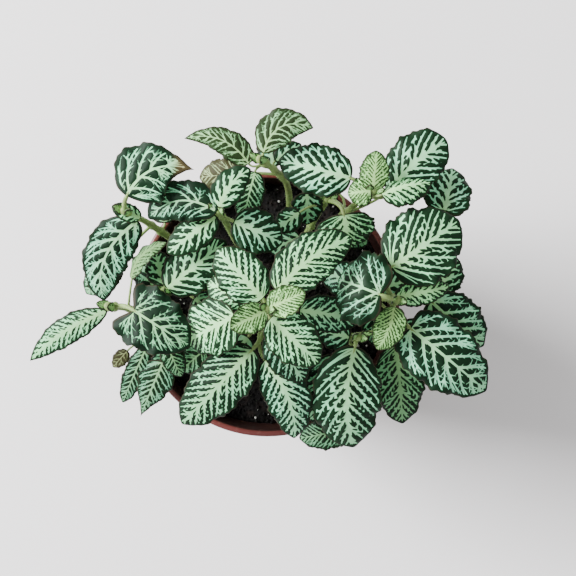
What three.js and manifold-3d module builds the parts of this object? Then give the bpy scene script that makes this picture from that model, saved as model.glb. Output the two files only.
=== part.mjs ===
// A nerve plant in a round plastic nursery pot: twelve rooted leafy stems stand in holes in the
// potting soil, and their veined leaves spread over the rim. Millimetres, +Z up, with the origin
// at the centre of the pot's flat foot.
import * as THREE from "three";
import { mergeVertices } from "three/addons/utils/BufferGeometryUtils.js";
import Module from "manifold-3d";

const wasm = await Module();
wasm.setup();

// Pot
const POT_HEIGHT = 95;
const RIM_RADIUS = 60;
const RIM_THICKNESS = 2.8;
const RIM_BAND_HEIGHT = 9;
const FOOT_RADIUS = 42;
const FOOT_RING_WIDTH = 4.5;
const FOOT_BOSS_RADIUS = 8;
const FOOT_RECESS = 4;
const FOOT_DRAFT = 2;
const WALL = 1.4;
const POT_SEGMENTS = 40;
const DRAIN_HOLES = 6;
const DRAIN_HOLE_RADIUS = 4;
const DRAIN_CIRCLE_RADIUS = 24;
const EDGE_ROUNDING = 0.8;

// Soil
const SOIL_TOP = 83;
const SOIL_EDGE_DROP = 2.5;
const SOIL_RINGS = [10, 21, 32, 43, 52];
const CLEARANCE = 0.3;
const PLANTING_DEPTH = 20;

// Stems and leaves
const STEM_RADIUS = 1.7;
const STEM_TIP_RADIUS = 1.2;
const STEM_SIDES = 6;
const HOLE_SIDES = 8;
const STEM_STEPS = 7;
const BUD_LENGTH = 4.5;
const BUD_RADIUS = 2;
const STALK_SIDES = 4;
const RIB_REACH = 0.14;
const RIB_DEPTH = 0.45;
const BLADE_THICKNESS = 0.7;
const BLADE_ROWS = [0, 0.08, 0.22, 0.38, 0.54, 0.7, 0.86, 1];
const SMALL_BLADE_ROWS = [0, 0.15, 0.4, 0.65, 0.88, 1];
const SMALL_WIDTH = 17;
const BLADE_COLUMNS = [-1, -0.5, 0, 0.5, 1];
const SMALL_BLADE_COLUMNS = [-1, 0, 1];
const EDGE_WAVES = 3.5;
const EDGE_SCALLOP = 0.03;

// One leaf: how far up the stem its stalk starts (0 at the soil, 1 at the bud), where its blade
// starts, its tip and its width. belly is where the blade is widest, bow lifts the midrib's middle
// and bend moves it to the right, both as a share of the length. roll (degrees) raises the right
// half, cup raises both margins and wave is the rise and fall of the margin. sharp narrows the tip
// and heart sweeps the two halves back past the stalk.
function leaf(height, base, tip, width, shape = {}) {
  const plain = { belly: 0.43, bow: 0.09, bend: 0, roll: 0, cup: -0.14, wave: 0.04 };
  return { height, base, tip, width, sharp: 0.62, heart: 0.12, ...plain, ...shape };
}

const SHOOTS = [
  {
    name: "shoot_centre",
    stem: [[2, -4, SOIL_TOP], [3, -3, 108], [1, -2, 132], [1, -1, 149]],
    leaves: [
      leaf(1, [0, -2, 152], [-14, -9, 157], 13, { bow: 0.06, cup: 0.1 }),
      leaf(1, [1.5, -1, 152.5], [16.5, 6, 157.5], 13, { bow: 0.06, cup: 0.1 }),
      leaf(0.93, [-1, 3, 149], [-20, 23.5, 147], 20.5),
      leaf(0.93, [5, 6, 149], [36, 28, 147], 21.5, { bend: -0.08 }),
      leaf(0.92, [2, -5, 148], [22.5, -24, 143], 20.5),
      leaf(0.88, [-12.5, -4, 146], [-34.5, -15.5, 124], 24.5),
      leaf(0.74, [2.5, -10, 138], [16, -32.5, 128], 18.5),
      leaf(0.72, [14, -2, 138], [41, -5.5, 131], 16),
      leaf(0.74, [-6.5, 2.5, 139], [-25, 9.5, 131], 17),
      leaf(0.58, [-0.5, -23, 131], [12, -58.5, 112], 20, { bend: -0.09 }),
      leaf(0.6, [-5.5, -18.5, 133], [-37, -52, 114], 23.5),
      leaf(0.4, [-8, -14, 112], [-26, -36, 100], 18),
      leaf(0.42, [8, 8, 115], [26, 20, 106], 16),
      leaf(0.45, [-6, 5, 116], [-20, 16, 108], 15),
    ],
  },
  {
    name: "shoot_top",
    stem: [[7, 34, SOIL_TOP], [10, 42, 106], [8, 54, 125], [-1, 60.5, 138]],
    leaves: [
      leaf(0.98, [-7, 59.5, 139], [-34, 70, 140], 12, { bend: 0.17, belly: 0.3, sharp: 0.9 }),
      leaf(1, [-1, 63.5, 142], [20, 74, 143], 16, { bend: -0.27, sharp: 0.85 }),
      leaf(0.85, [4, 61.5, 130], [15, 69, 128], 9.5),
      leaf(0.95, [-4.5, 56.5, 136], [-10, 36.5, 124], 13),
      leaf(0.75, [-11, 56.5, 127], [-29, 55.5, 118], 14.5),
      leaf(0.7, [3, 60, 118], [0, 78, 110], 12),
    ],
  },
  {
    name: "shoot_inner_left",
    stem: [[-13, 27, SOIL_TOP], [-14, 29, 105], [-17, 35, 126], [-19.5, 39.5, 142]],
    leaves: [
      leaf(0.98, [-19, 40.5, 146], [-6, 56.5, 148], 13.5, { bend: -0.11 }),
      leaf(1, [-20, 39, 146], [-49, 36.5, 140], 17.5, { bend: 0.2 }),
      leaf(0.92, [-20.5, 37.5, 141], [-41.5, 22, 136], 14.5),
      leaf(0.85, [-13.5, 35.5, 138], [7, 26.5, 132], 19.5),
    ],
  },
  {
    name: "shoot_upper_left",
    stem: [[-36, 25, SOIL_TOP], [-42, 29, 102], [-52, 36, 121], [-58.5, 39.5, 136]],
    leaves: [
      leaf(1, [-57.5, 45.5, 146], [-29, 56, 149], 27, { bend: -0.2, belly: 0.32, sharp: 1.5, heart: 0.15 }),
      leaf(0.97, [-53, 37, 134], [-65, 42, 136], 8),
      leaf(0.93, [-54, 36, 134], [-71, 2, 116], 20.5, { bend: 0.15 }),
      leaf(0.6, [-64, 20.5, 122], [-79.5, 5, 110], 15.5),
      leaf(0.5, [-45, 36, 111], [-46, 54, 103], 14),
    ],
  },
  {
    name: "shoot_left",
    stem: [[-41, -3, SOIL_TOP], [-46, -3, 100], [-56, -2, 114], [-66, -0.5, 127]],
    leaves: [
      leaf(0.97, [-68.5, -2.5, 124], [-104, -24.6, 112], 12.5, { bend: 0.05, sharp: 0.9 }),
      leaf(0.96, [-56, -2, 134], [-32, -17, 134], 27, { belly: 0.32, heart: 0.85 }),
      leaf(0.8, [-57.5, 11.5, 129], [-42, 26.5, 132], 11.5, { roll: 52, bend: -0.09 }),
      leaf(0.4, [-49, 4, 111], [-55, 23, 104], 15),
    ],
  },
  {
    name: "shoot_mid_left",
    stem: [[-28, 6, SOIL_TOP], [-31, 6, 100], [-38, 6, 114], [-43, 6, 125]],
    leaves: [
      leaf(0.97, [-42.5, 7, 128], [-17, 27.5, 129], 21.5),
      leaf(0.9, [-44, 8.5, 124], [-48, 23.5, 121], 13),
      leaf(0.4, [-30, 9, 110], [-15, 21, 103], 15),
      leaf(0.55, [-32, 3, 114], [-18, -7, 108], 15),
    ],
  },
  {
    name: "shoot_upper_right",
    stem: [[28, 33, SOIL_TOP], [31, 37, 102], [39, 44, 122], [44.5, 48, 137]],
    leaves: [
      leaf(0.95, [36, 53.5, 138], [5.5, 61.5, 134], 22),
      leaf(1, [45, 48.5, 141], [46, 64.5, 145], 12.8),
      leaf(1, [44, 48, 141], [34.5, 47, 139], 12.5, { heart: 0.3 }),
      leaf(0.97, [48.5, 46.5, 141], [69.5, 51.5, 140], 14, { cup: -0.6, roll: 30 }),
      leaf(0.9, [52.5, 48, 134], [76.5, 69.5, 136], 23.5, { belly: 0.54, bend: -0.07, sharp: 0.5 }),
      leaf(0.5, [54, 50, 112], [70, 62, 104], 14),
      leaf(0.45, [32, 49, 110], [16, 60, 102], 13),
      leaf(0.3, [34, 34, 105], [45, 27, 100], 13),
    ],
  },
  {
    name: "shoot_right",
    stem: [[40, 3, SOIL_TOP], [44, 3, 104], [51, 3, 124], [54.5, 2.5, 138]],
    leaves: [
      leaf(0.97, [48, 4.5, 148], [31, 11, 134], 31.5, { bow: 0.2, heart: 0.5 }),
      leaf(1, [53.8, -0.5, 141], [47, -18.5, 136], 14, { bend: -0.06 }),
      leaf(0.98, [54.5, 3.5, 138], [78, 8, 131], 11.5),
      leaf(0.93, [52.5, 16, 140], [81.5, 36, 136], 33, { heart: 0.2 }),
      leaf(0.82, [61, -9.5, 133], [95, -37, 122], 30, { belly: 0.38, heart: 0.4 }),
      leaf(0.88, [70.5, 2, 127], [95, -18, 114], 24, { roll: -12, cup: -0.25 }),
      leaf(0.45, [50, 7, 110], [73, 14, 100], 16),
      leaf(0.5, [60, -8, 112], [84, -27, 101], 15),
      leaf(0.5, [42, 8, 120], [24, 15, 113], 16),
      leaf(0.35, [47, -2, 108], [50, -19, 101], 13),
    ],
  },
  {
    name: "shoot_far_right",
    stem: [[43, 18, SOIL_TOP], [49, 20, 99], [62, 26, 112], [72, 30, 123]],
    leaves: [
      leaf(0.98, [76, 40, 131], [80.5, 59, 122], 20.5, { heart: 0.5 }),
      leaf(0.9, [74.5, 6, 122], [82, 21.5, 118], 16),
      leaf(0.75, [68, 29, 113], [87, 34, 103], 17),
    ],
  },
  {
    name: "shoot_front",
    stem: [[32, -14, SOIL_TOP], [34, -14, 102], [37, -14, 118], [39, -13.5, 128]],
    leaves: [
      leaf(0.96, [38, -17.5, 130], [38.5, -63, 108], 30.5, { belly: 0.48, bend: 0.07 }),
      leaf(0.6, [56.5, -17.5, 117], [60.5, -53, 103], 22),
      leaf(0.5, [38, -55, 104], [14.5, -60, 100], 15),
      leaf(1, [40.5, -12.5, 130], [45.5, -12, 131], 3),
      leaf(0.85, [36, -14, 126], [22, -10.5, 122], 14),
      leaf(0.7, [30, -22, 118], [20, -52, 106], 18),
      leaf(0.4, [36, -20, 107], [47, -40, 97], 15),
    ],
  },
  {
    name: "shoot_lower_left",
    stem: [[-36, -17, SOIL_TOP], [-39, -17, 97], [-44, -17, 108], [-47, -17.5, 117]],
    leaves: [
      leaf(0.8, [-52.5, -18, 112], [-65, -44, 98], 10),
      leaf(0.75, [-45.5, -25, 112], [-57, -50.5, 98], 16.5, { belly: 0.28, sharp: 1.6 }),
      leaf(0.97, [-43.5, -16.5, 120], [-37.5, -31.5, 112], 10.5),
      leaf(0.5, [-62, -20.5, 106], [-69, -28, 100], 7),
      leaf(0.85, [-27, -19.5, 116], [-38, -29, 110], 12.5),
      leaf(0.4, [-41, -20, 105], [-51, -35, 99], 14),
    ],
  },
  {
    name: "shoot_back",
    stem: [[17, 30, SOIL_TOP], [19, 34, 98], [23, 41, 110], [26, 45.5, 119]],
    leaves: [
      leaf(0.9, [17.5, 48.5, 124], [18, 35.5, 112], 14),
      leaf(1, [33.3, 39, 128], [35.8, 24.5, 116], 26),
      leaf(0.8, [14.5, 40, 126], [4, 32.5, 121], 11),
      leaf(0.4, [15, 30, 108], [1, 24, 102], 13),
    ],
  },
];

// A solid from a closed geometry, without the triangles that have no area, facing outwards
function solidFrom(geometry) {
  const bare = new THREE.BufferGeometry();
  bare.setAttribute("position", geometry.getAttribute("position").clone());
  if (geometry.index) bare.setIndex(geometry.index.clone());
  const merged = mergeVertices(bare, 1e-4);
  const corners = merged.index.array;
  const kept = [];
  for (let i = 0; i < corners.length; i += 3) {
    const [a, b, c] = [corners[i], corners[i + 1], corners[i + 2]];
    if (a !== b && b !== c && c !== a) kept.push(a, b, c);
  }
  const vertProperties = new Float32Array(merged.getAttribute("position").array);
  const build = (triangles) => new wasm.Manifold(
    new wasm.Mesh({ numProp: 3, vertProperties, triVerts: new Uint32Array(triangles) }));
  const solid = build(kept);
  return solid.volume() > 0 ? solid : build(kept.reverse());
}

// A three.js geometry from a solid
function geometryFrom(solid) {
  const mesh = solid.getMesh();
  const geometry = new THREE.BufferGeometry();
  geometry.setAttribute("position", new THREE.BufferAttribute(mesh.vertProperties, 3));
  geometry.setIndex(new THREE.BufferAttribute(mesh.triVerts, 1));
  geometry.computeVertexNormals();
  return geometry;
}

// A closed geometry from a list of points and a list of triangles
function geometryOf(points, triangles) {
  const geometry = new THREE.BufferGeometry();
  geometry.setAttribute("position", new THREE.Float32BufferAttribute(points.flatMap((p) => [p.x, p.y, p.z]), 3));
  geometry.setIndex(triangles);
  return geometry;
}

// A turned shape: a profile of [radius, height] points spun round the Z axis
function turned(profile) {
  const points = profile.map(([radius, height]) => new THREE.Vector2(radius, height));
  return new THREE.LatheGeometry(points, POT_SEGMENTS).rotateX(Math.PI / 2);
}

function potWallRadius(z) {
  const bandBottom = POT_HEIGHT - RIM_BAND_HEIGHT;
  const topRadius = RIM_RADIUS - RIM_THICKNESS + WALL - EDGE_ROUNDING;
  return FOOT_RADIUS + ((topRadius - FOOT_RADIUS) * z) / bandBottom;
}

// The pot: tapered wall, thick rim band, ring foot, and a raised floor with drain holes round the
// moulding's central boss, which is level with the foot
function makePot() {
  const bandBottom = POT_HEIGHT - RIM_BAND_HEIGHT;
  const rimInner = RIM_RADIUS - RIM_THICKNESS;
  const floorTop = FOOT_RECESS + WALL;
  const profile = [
    [0, 0],
    [FOOT_BOSS_RADIUS, 0],
    [FOOT_BOSS_RADIUS + FOOT_DRAFT, FOOT_RECESS],
    [FOOT_RADIUS - FOOT_RING_WIDTH - FOOT_DRAFT, FOOT_RECESS],
    [FOOT_RADIUS - FOOT_RING_WIDTH, 0],
    [FOOT_RADIUS - EDGE_ROUNDING, 0],
    [potWallRadius(EDGE_ROUNDING), EDGE_ROUNDING],
    [potWallRadius(bandBottom), bandBottom],
    [RIM_RADIUS - EDGE_ROUNDING, bandBottom],
    [RIM_RADIUS, bandBottom + EDGE_ROUNDING],
    [RIM_RADIUS, POT_HEIGHT - EDGE_ROUNDING],
    [RIM_RADIUS - EDGE_ROUNDING, POT_HEIGHT],
    [rimInner + EDGE_ROUNDING, POT_HEIGHT],
    [rimInner, POT_HEIGHT - EDGE_ROUNDING],
    [potWallRadius(bandBottom) - WALL, bandBottom],
    [potWallRadius(floorTop) - WALL, floorTop],
    [0, floorTop],
  ];
  let pot = solidFrom(turned(profile));
  for (let i = 0; i < DRAIN_HOLES; i++) {
    const angle = (2 * Math.PI * (i + 0.5)) / DRAIN_HOLES;
    const hole = new THREE.CylinderGeometry(DRAIN_HOLE_RADIUS, DRAIN_HOLE_RADIUS, 4 * WALL, HOLE_SIDES);
    hole.rotateX(Math.PI / 2);
    hole.translate(DRAIN_CIRCLE_RADIUS * Math.cos(angle), DRAIN_CIRCLE_RADIUS * Math.sin(angle), FOOT_RECESS);
    pot = pot.subtract(solidFrom(hole));
  }
  return pot;
}

// The soil's surface: low crumbs and hollows, a little lower at the wall
function soilHeight(x, y) {
  const broad = 1.1 * Math.sin(0.16 * x + 1.3) * Math.cos(0.14 * y - 0.4);
  const fine = 0.6 * Math.sin(0.55 * x + 0.41 * y);
  const edge = 1.5 * (Math.hypot(x, y) / RIM_RADIUS) ** 4;
  return SOIL_TOP + broad + fine - edge;
}

// The soil fills the pot's inside, with a plain hole for each stem
function makeSoil() {
  const floor = FOOT_RECESS + WALL + CLEARANCE;
  const bottomRadius = potWallRadius(floor) - WALL - CLEARANCE;
  const edgeHeight = SOIL_TOP - SOIL_EDGE_DROP;
  const edgeRadius = potWallRadius(edgeHeight) - WALL - CLEARANCE;
  const points = [new THREE.Vector3(0, 0, soilHeight(0, 0))];
  const ring = (radius, height) => {
    for (let i = 0; i < POT_SEGMENTS; i++) {
      const angle = (2 * Math.PI * i) / POT_SEGMENTS;
      const x = radius * Math.cos(angle);
      const y = radius * Math.sin(angle);
      points.push(new THREE.Vector3(x, y, height ?? soilHeight(x, y)));
    }
  };
  SOIL_RINGS.forEach((radius) => ring(radius));
  ring(edgeRadius, edgeHeight);
  ring(bottomRadius, floor);
  points.push(new THREE.Vector3(0, 0, floor));
  const triangles = [];
  const at = (row, i) => 1 + row * POT_SEGMENTS + (i % POT_SEGMENTS);
  const rows = SOIL_RINGS.length + 2;
  for (let i = 0; i < POT_SEGMENTS; i++) {
    triangles.push(0, at(0, i), at(0, i + 1));
    for (let row = 0; row + 1 < rows; row++) {
      triangles.push(at(row, i), at(row + 1, i), at(row + 1, i + 1));
      triangles.push(at(row, i), at(row + 1, i + 1), at(row, i + 1));
    }
    triangles.push(points.length - 1, at(rows - 1, i + 1), at(rows - 1, i));
  }
  let soil = solidFrom(geometryOf(points, triangles));
  for (const { stem } of SHOOTS) {
    const radius = (STEM_RADIUS + 1.5 * CLEARANCE) / Math.cos(Math.PI / HOLE_SIDES);
    const depth = PLANTING_DEPTH + CLEARANCE;
    const hole = new THREE.CylinderGeometry(radius, radius, 2 * depth, HOLE_SIDES);
    hole.rotateX(Math.PI / 2);
    soil = soil.subtract(solidFrom(hole.translate(stem[0][0], stem[0][1], SOIL_TOP)));
  }
  return soil;
}

// A closed tube through the given points, with its own radius at each
function tube(points, radii, sides) {
  const corners = [];
  const triangles = [];
  let across = new THREE.Vector3(1, 0, 0);
  points.forEach((point, i) => {
    const before = points[Math.max(i - 1, 0)];
    const after = points[Math.min(i + 1, points.length - 1)];
    const along = after.clone().sub(before).normalize();
    across = across.clone().addScaledVector(along, -across.dot(along)).normalize();
    const other = along.clone().cross(across);
    for (let k = 0; k < sides; k++) {
      const angle = (2 * Math.PI * k) / sides;
      corners.push(point.clone()
        .addScaledVector(across, radii[i] * Math.cos(angle))
        .addScaledVector(other, radii[i] * Math.sin(angle)));
    }
  });
  for (let i = 0; i + 1 < points.length; i++) {
    for (let k = 0; k < sides; k++) {
      const [a, b] = [i * sides + k, i * sides + ((k + 1) % sides)];
      triangles.push(a, b, b + sides, a, b + sides, a + sides);
    }
  }
  const last = (points.length - 1) * sides;
  for (let k = 1; k + 1 < sides; k++) {
    triangles.push(0, k + 1, k, last, last + k, last + k + 1);
  }
  return solidFrom(geometryOf(corners, triangles));
}

// The blade's own directions at t along its midrib, and the midrib's point there
function midrib(blade, t) {
  const base = new THREE.Vector3(...blade.base);
  const chord = new THREE.Vector3(...blade.tip).sub(base);
  const length = chord.length();
  const forward = chord.clone().normalize();
  const level = forward.clone().cross(new THREE.Vector3(0, 0, 1)).normalize();
  const rise = level.clone().cross(forward);
  const roll = THREE.MathUtils.degToRad(blade.roll);
  const up = rise.clone().multiplyScalar(Math.cos(roll)).addScaledVector(level, -Math.sin(roll));
  const arch = 4 * t * (1 - t) * length;
  const slope = 4 * (1 - 2 * t);
  const point = base.addScaledVector(forward, length * t)
    .addScaledVector(up, blade.bow * arch)
    .addScaledVector(level, blade.bend * arch);
  const along = forward.clone().addScaledVector(up, blade.bow * slope)
    .addScaledVector(level, blade.bend * slope).normalize();
  const normal = up.clone().addScaledVector(along, -up.dot(along)).normalize();
  return { point, along, normal, side: along.clone().cross(normal) };
}

// Half the blade's width at t: rounded at the base, blunt-pointed at the tip, lightly scalloped
function halfWidth(blade, t) {
  const start = (blade.sharp * blade.belly) / (1 - blade.belly);
  const shape = (s) => s ** start * (1 - s) ** blade.sharp;
  const scallop = 1 + EDGE_SCALLOP * Math.cos(2 * Math.PI * EDGE_WAVES * t);
  return (blade.width / 2) * (shape(t) / shape(blade.belly)) * scallop;
}

// A point of the blade, t along it and v across it from -1 (left) to 1 (right)
function bladePoint(blade, t, v, lift) {
  const { point, along, normal, side } = midrib(blade, t);
  const half = halfWidth(blade, t);
  const sweep = blade.heart * half * v * v * (1 - t) ** 3;
  const across = Math.abs(v);
  const phase = v < 0 ? 1.9 : 0;
  const wave = blade.wave * blade.width * Math.sin(2 * Math.PI * EDGE_WAVES * t + phase) * across ** 3;
  const taper = Math.min(1, (2 * half) / blade.width);
  return point.addScaledVector(side, half * v)
    .addScaledVector(along, -sweep)
    .addScaledVector(normal, blade.cup * half * across ** 1.5 + wave * taper + lift);
}

// A leaf blade as one closed thin body, its two faces split into triangles alike
function bladeSolid(blade) {
  const small = blade.width < SMALL_WIDTH;
  const rows = small ? SMALL_BLADE_ROWS : BLADE_ROWS;
  const columns = small ? SMALL_BLADE_COLUMNS : BLADE_COLUMNS;
  const points = [];
  for (const lift of [BLADE_THICKNESS / 2, -BLADE_THICKNESS / 2]) {
    points.push(bladePoint(blade, 0, 0, lift));
    for (const t of rows.slice(1, -1)) {
      for (const v of columns) points.push(bladePoint(blade, t, v, lift));
    }
    points.push(bladePoint(blade, 1, 0, lift));
  }
  const under = points.length / 2;
  const inner = rows.length - 2;
  const at = (row, column) => 1 + row * columns.length + column;
  const tip = under - 1;
  const face = [];
  for (let c = 0; c + 1 < columns.length; c++) {
    face.push([0, at(0, c + 1), at(0, c)]);
    for (let r = 0; r + 1 < inner; r++) {
      face.push([at(r, c), at(r, c + 1), at(r + 1, c + 1)]);
      face.push([at(r, c), at(r + 1, c + 1), at(r + 1, c)]);
    }
    face.push([tip, at(inner - 1, c), at(inner - 1, c + 1)]);
  }
  const edge = [0];
  for (let r = 0; r < inner; r++) edge.push(at(r, columns.length - 1));
  edge.push(tip);
  for (let r = inner - 1; r >= 0; r--) edge.push(at(r, 0));
  const triangles = [];
  for (const [a, b, c] of face) {
    triangles.push(a, b, c, a + under, c + under, b + under);
  }
  edge.forEach((a, i) => {
    const b = edge[(i + 1) % edge.length];
    triangles.push(a, a + under, b + under, a, b + under, b);
  });
  return solidFrom(geometryOf(points, triangles));
}

// A leaf's stalk, from the stem to under the start of the blade, where it goes on as the midrib
function stalkSolid(blade, start) {
  const radius = THREE.MathUtils.clamp(blade.width / 24, 0.5, 1);
  const foot = midrib(blade, 0);
  const bladeStart = foot.point.clone().addScaledVector(foot.normal, -BLADE_THICKNESS / 2);
  const reach = start.distanceTo(bladeStart);
  const bendPoint = bladeStart.clone().addScaledVector(foot.along, -0.45 * reach);
  const curve = new THREE.QuadraticBezierCurve3(start, bendPoint, bladeStart);
  const rib = midrib(blade, RIB_REACH);
  const points = [...curve.getPoints(2), rib.point.addScaledVector(rib.normal, -RIB_DEPTH)];
  const radii = [radius * 1.15, radius, radius * 0.9, radius * 0.5];
  return tube(points, radii, STALK_SIDES);
}

// A leafy stem: the stem from its planting hole to its bud, with its leaves
function makeShoot({ stem, leaves }) {
  const curve = new THREE.CatmullRomCurve3(stem.map((p) => new THREE.Vector3(...p)));
  const root = curve.getPoint(0);
  const points = [root.clone().setZ(SOIL_TOP - PLANTING_DEPTH), ...curve.getPoints(STEM_STEPS)];
  const radii = points.map((p, i) => THREE.MathUtils.lerp(STEM_RADIUS, STEM_TIP_RADIUS, i / points.length));
  const crown = curve.getPoint(1);
  const heading = curve.getTangent(1);
  for (const [share, radius] of [[0.35, 1], [0.7, 0.8], [1, 0.25]]) {
    points.push(crown.clone().addScaledVector(heading, BUD_LENGTH * share));
    radii.push(BUD_RADIUS * radius);
  }
  let shoot = tube(points, radii, STEM_SIDES);
  for (const blade of leaves) {
    shoot = shoot.add(stalkSolid(blade, curve.getPoint(blade.height)));
    shoot = shoot.add(bladeSolid(blade));
  }
  return shoot;
}

function named(name, solid, color, roughness) {
  const material = new THREE.MeshStandardMaterial({ color, roughness, metalness: 0 });
  const mesh = new THREE.Mesh(geometryFrom(solid), material);
  mesh.name = name;
  return mesh;
}

const group = new THREE.Group();
group.add(named("pot", makePot(), "#8b4a3f", 0.45));
group.add(named("soil", makeSoil(), "#1d1815", 0.95));
for (const shoot of SHOOTS) {
  group.add(named(shoot.name, makeShoot(shoot), "#3f6a45", 0.5));
}

export default group;
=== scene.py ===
# A nerve plant in a round nursery pot: the looks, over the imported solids. +Z up.
import math
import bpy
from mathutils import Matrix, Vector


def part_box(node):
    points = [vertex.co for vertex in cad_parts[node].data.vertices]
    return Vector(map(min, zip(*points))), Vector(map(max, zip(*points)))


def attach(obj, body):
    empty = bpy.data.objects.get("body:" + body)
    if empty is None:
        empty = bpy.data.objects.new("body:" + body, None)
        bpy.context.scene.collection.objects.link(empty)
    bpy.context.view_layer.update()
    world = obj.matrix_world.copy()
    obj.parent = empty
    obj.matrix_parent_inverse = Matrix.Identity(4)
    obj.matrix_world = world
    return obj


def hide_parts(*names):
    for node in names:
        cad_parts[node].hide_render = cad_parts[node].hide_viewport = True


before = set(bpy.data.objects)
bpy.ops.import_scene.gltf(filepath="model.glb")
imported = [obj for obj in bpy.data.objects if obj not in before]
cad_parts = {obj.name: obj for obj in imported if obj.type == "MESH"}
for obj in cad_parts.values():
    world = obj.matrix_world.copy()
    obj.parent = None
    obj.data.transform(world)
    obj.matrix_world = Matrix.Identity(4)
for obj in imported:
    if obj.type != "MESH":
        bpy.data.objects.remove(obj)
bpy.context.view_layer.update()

from types import SimpleNamespace

import bmesh
import bpy
import numpy as np
from bpy.props import FloatProperty, FloatVectorProperty, IntProperty, PointerProperty

bl_info = {
    "name": "Potted Nerve Plant",
    "version": (1, 0, 0),
    "blender": (4, 5, 0),
    "location": "3D View > Sidebar > Nerve Plant",
    "description": "Makes a nerve plant with veined leaves, its potting soil and its nursery pot",
    "category": "Add Mesh",
}

# Shapes are worked out in millimetres and turned to metres in new_piece
MM = 0.001
PACKED_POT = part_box("pot")
RIM_RADIUS = (PACKED_POT[1].x - PACKED_POT[0].x) / 2 / MM
POT_HEIGHT = PACKED_POT[1].z / MM

# Pot
RIM_THICKNESS = 2.8
RIM_BAND_HEIGHT = 9
BAND_BOTTOM = POT_HEIGHT - RIM_BAND_HEIGHT
FOOT_RADIUS = 42
FOOT_RING_WIDTH = 4.5
FOOT_BOSS_RADIUS = 8
FOOT_RECESS = 4
FOOT_DRAFT = 2
WALL = 1.4
FLOOR_TOP = FOOT_RECESS + WALL
EDGE_ROUNDING = 0.8
POT_SEGMENTS = 144
DRAIN_HOLES = 6
DRAIN_HOLE_RADIUS = 4
DRAIN_HOLE_SEGMENTS = 28
DRAIN_CIRCLE_RADIUS = 24

# Soil: its body's rings and their points, how far those stand up or down at random, where its top
# starts to fall towards the wall, the disc over which crumbs and grains are strewn, and the width
# and height of their lumps
SOIL_TOP = 83
SOIL_EDGE_DROP = 2.5
SOIL_RINGS = 70
SOIL_SEGMENTS = 240
SOIL_ROUGHNESS = 0.35
SOIL_FALL_RADIUS = 50
STREWN_RADIUS = 55
STREWN_RINGS = 19
STREWN_SEGMENTS = 60
LUMP_WIDTH = 0.9
LUMP_HEIGHT = 0.9
CLEARANCE = 0.3
PLANTING_DEPTH = 20

# Stems. Where a stalk leaves, they swell by NODE_SWELLING over NODE_SHARE of their length, but not
# past THICKEST_NODE times their radius
STEM_RADIUS = 1.7
STEM_TIP_RADIUS = 1.2
STEM_STEPS = 60
STEM_SIDES = 12
NODE_SWELLING = 0.4
NODE_SHARE = 0.025
THICKEST_NODE = 1.6
BUD_LENGTH = 4.5
BUD_RADIUS = 2
BUD_SHARES = np.array([0.2, 0.4, 0.6, 0.8, 0.93, 1])
BUD_GIRTHS = np.array([0.85, 1, 0.95, 0.7, 0.4, 0.1])

# Stalks, and the ribs that they go on as under their blades: shares of a blade's length
STALK_STEPS = 12
STALK_SIDES = 8
RIB_DEPTH = 0.45
RIB_REACH = 0.14
RIB_SHARES = RIB_REACH * np.array([0.3, 0.6, 1, 1.8, 2.8, 4])
RIB_GIRTHS = np.array([0.8, 0.7, 0.6, 0.45, 0.35, 0.2])

# Blades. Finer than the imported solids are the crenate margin, and cells that puff up between veins
BLADE_THICKNESS = 0.7
EDGE_WAVES = 3.5
EDGE_SCALLOP = 0.03
MARGIN_TEETH = 13
MARGIN_TOOTH = 0.02
MARGIN_LOBES = 6.3
MARGIN_LOBE = 0.03
PUFF_HEIGHT = 0.32
PUFF_WIDTH = 1.7
CELL_RISE = 0.14

# How veins run: their angle to the midrib at the blade's base and how much of it they lose by its
# tip (degrees), their fan at the base and their forward curl (radians a millimetre), their sway
# (mm), and how far a first, second or finer branch runs out sideways for each millimetre along its
# vein. The midrib shows up to RIB_END along the blade.
VEIN_ANGLE = 57
VEIN_ANGLE_LOSS = 26
BASE_FAN = 0.13
VEIN_CURL = 0.008
VEIN_SWAY = 0.5
BRANCH_SLOPES = (0.36, 0.52, 0.7)
RIB_END = 0.955

# Twigs: the shortest vein that bears them, how far from its root they start (mm), and their angle
# to it (degrees)
TWIGGED_VEIN = 4
TWIG_START = 1.3
TWIG_ANGLES = (34, 56)

# Dark slits of a feathered leaf: the angle (degrees) at which they leave their side vein and how
# much of it they lose by their end, which share of the way to the middle of the gap they reach, and
# the half widths along a slit, along a margin notch and between two veins' roots
SLIT_ANGLE = 32
SLIT_CURL = 0.4
SLIT_REACHES = (0.35, 0.85)
SLIT_SHARES = np.array([0, 0.2, 0.5, 0.8, 1])
SLIT_GIRTHS = np.array([0.2, 0.7, 1.0, 1.0, 0.3])
NOTCH_GIRTHS = np.array([2.2, 1.5, 1.0, 0.7, 0.2])
AXIL_GIRTHS = np.array([0.4, 0.8, 1.0, 0.8, 0.2])

# Fine and coarse maps of the marks over a flat blade: their steps, and how deep they go (mm)
MARK_STEP = 0.15
MARK_DEPTH = 0.75
RELIEF_STEP = 0.5
RELIEF_DEPTH = 4

# Rows along a blade and columns across it, for each mesh spacing of its length and width, and the
# share of the rows that are evenly spaced: the others crowd towards its two ends.
ROWS_PER_SPACING = 1.05
COLUMNS_PER_SPACING = 0.92
EVEN_ROWS = 0.6
UNDER_COLUMNS = 8

# The material slots of a leafy stem, and the marks of a point that isn't on a leaf's face
LEAF_FACE, LEAF_UNDERSIDE, STEM = range(3)
BARE = {"vein": -1.0, "edge": 9.0, "rib": 0.0, "dry": 0.0, "youth": 0.0, "shade": 1.0, "warmth": 0.5}

# How much living tissue and moulded plastic bend light
PLANT_IOR = 1.42
PLASTIC_IOR = 1.49

# Leaves that start lower are darker, partly as older leaves and partly as painted shade under the canopy:
# the heights (mm), and the lowest leaves' tone
AGE_AND_SHADE_HEIGHTS = (110, 138)
LOW_LEAF_LIGHT = 0.7

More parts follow.
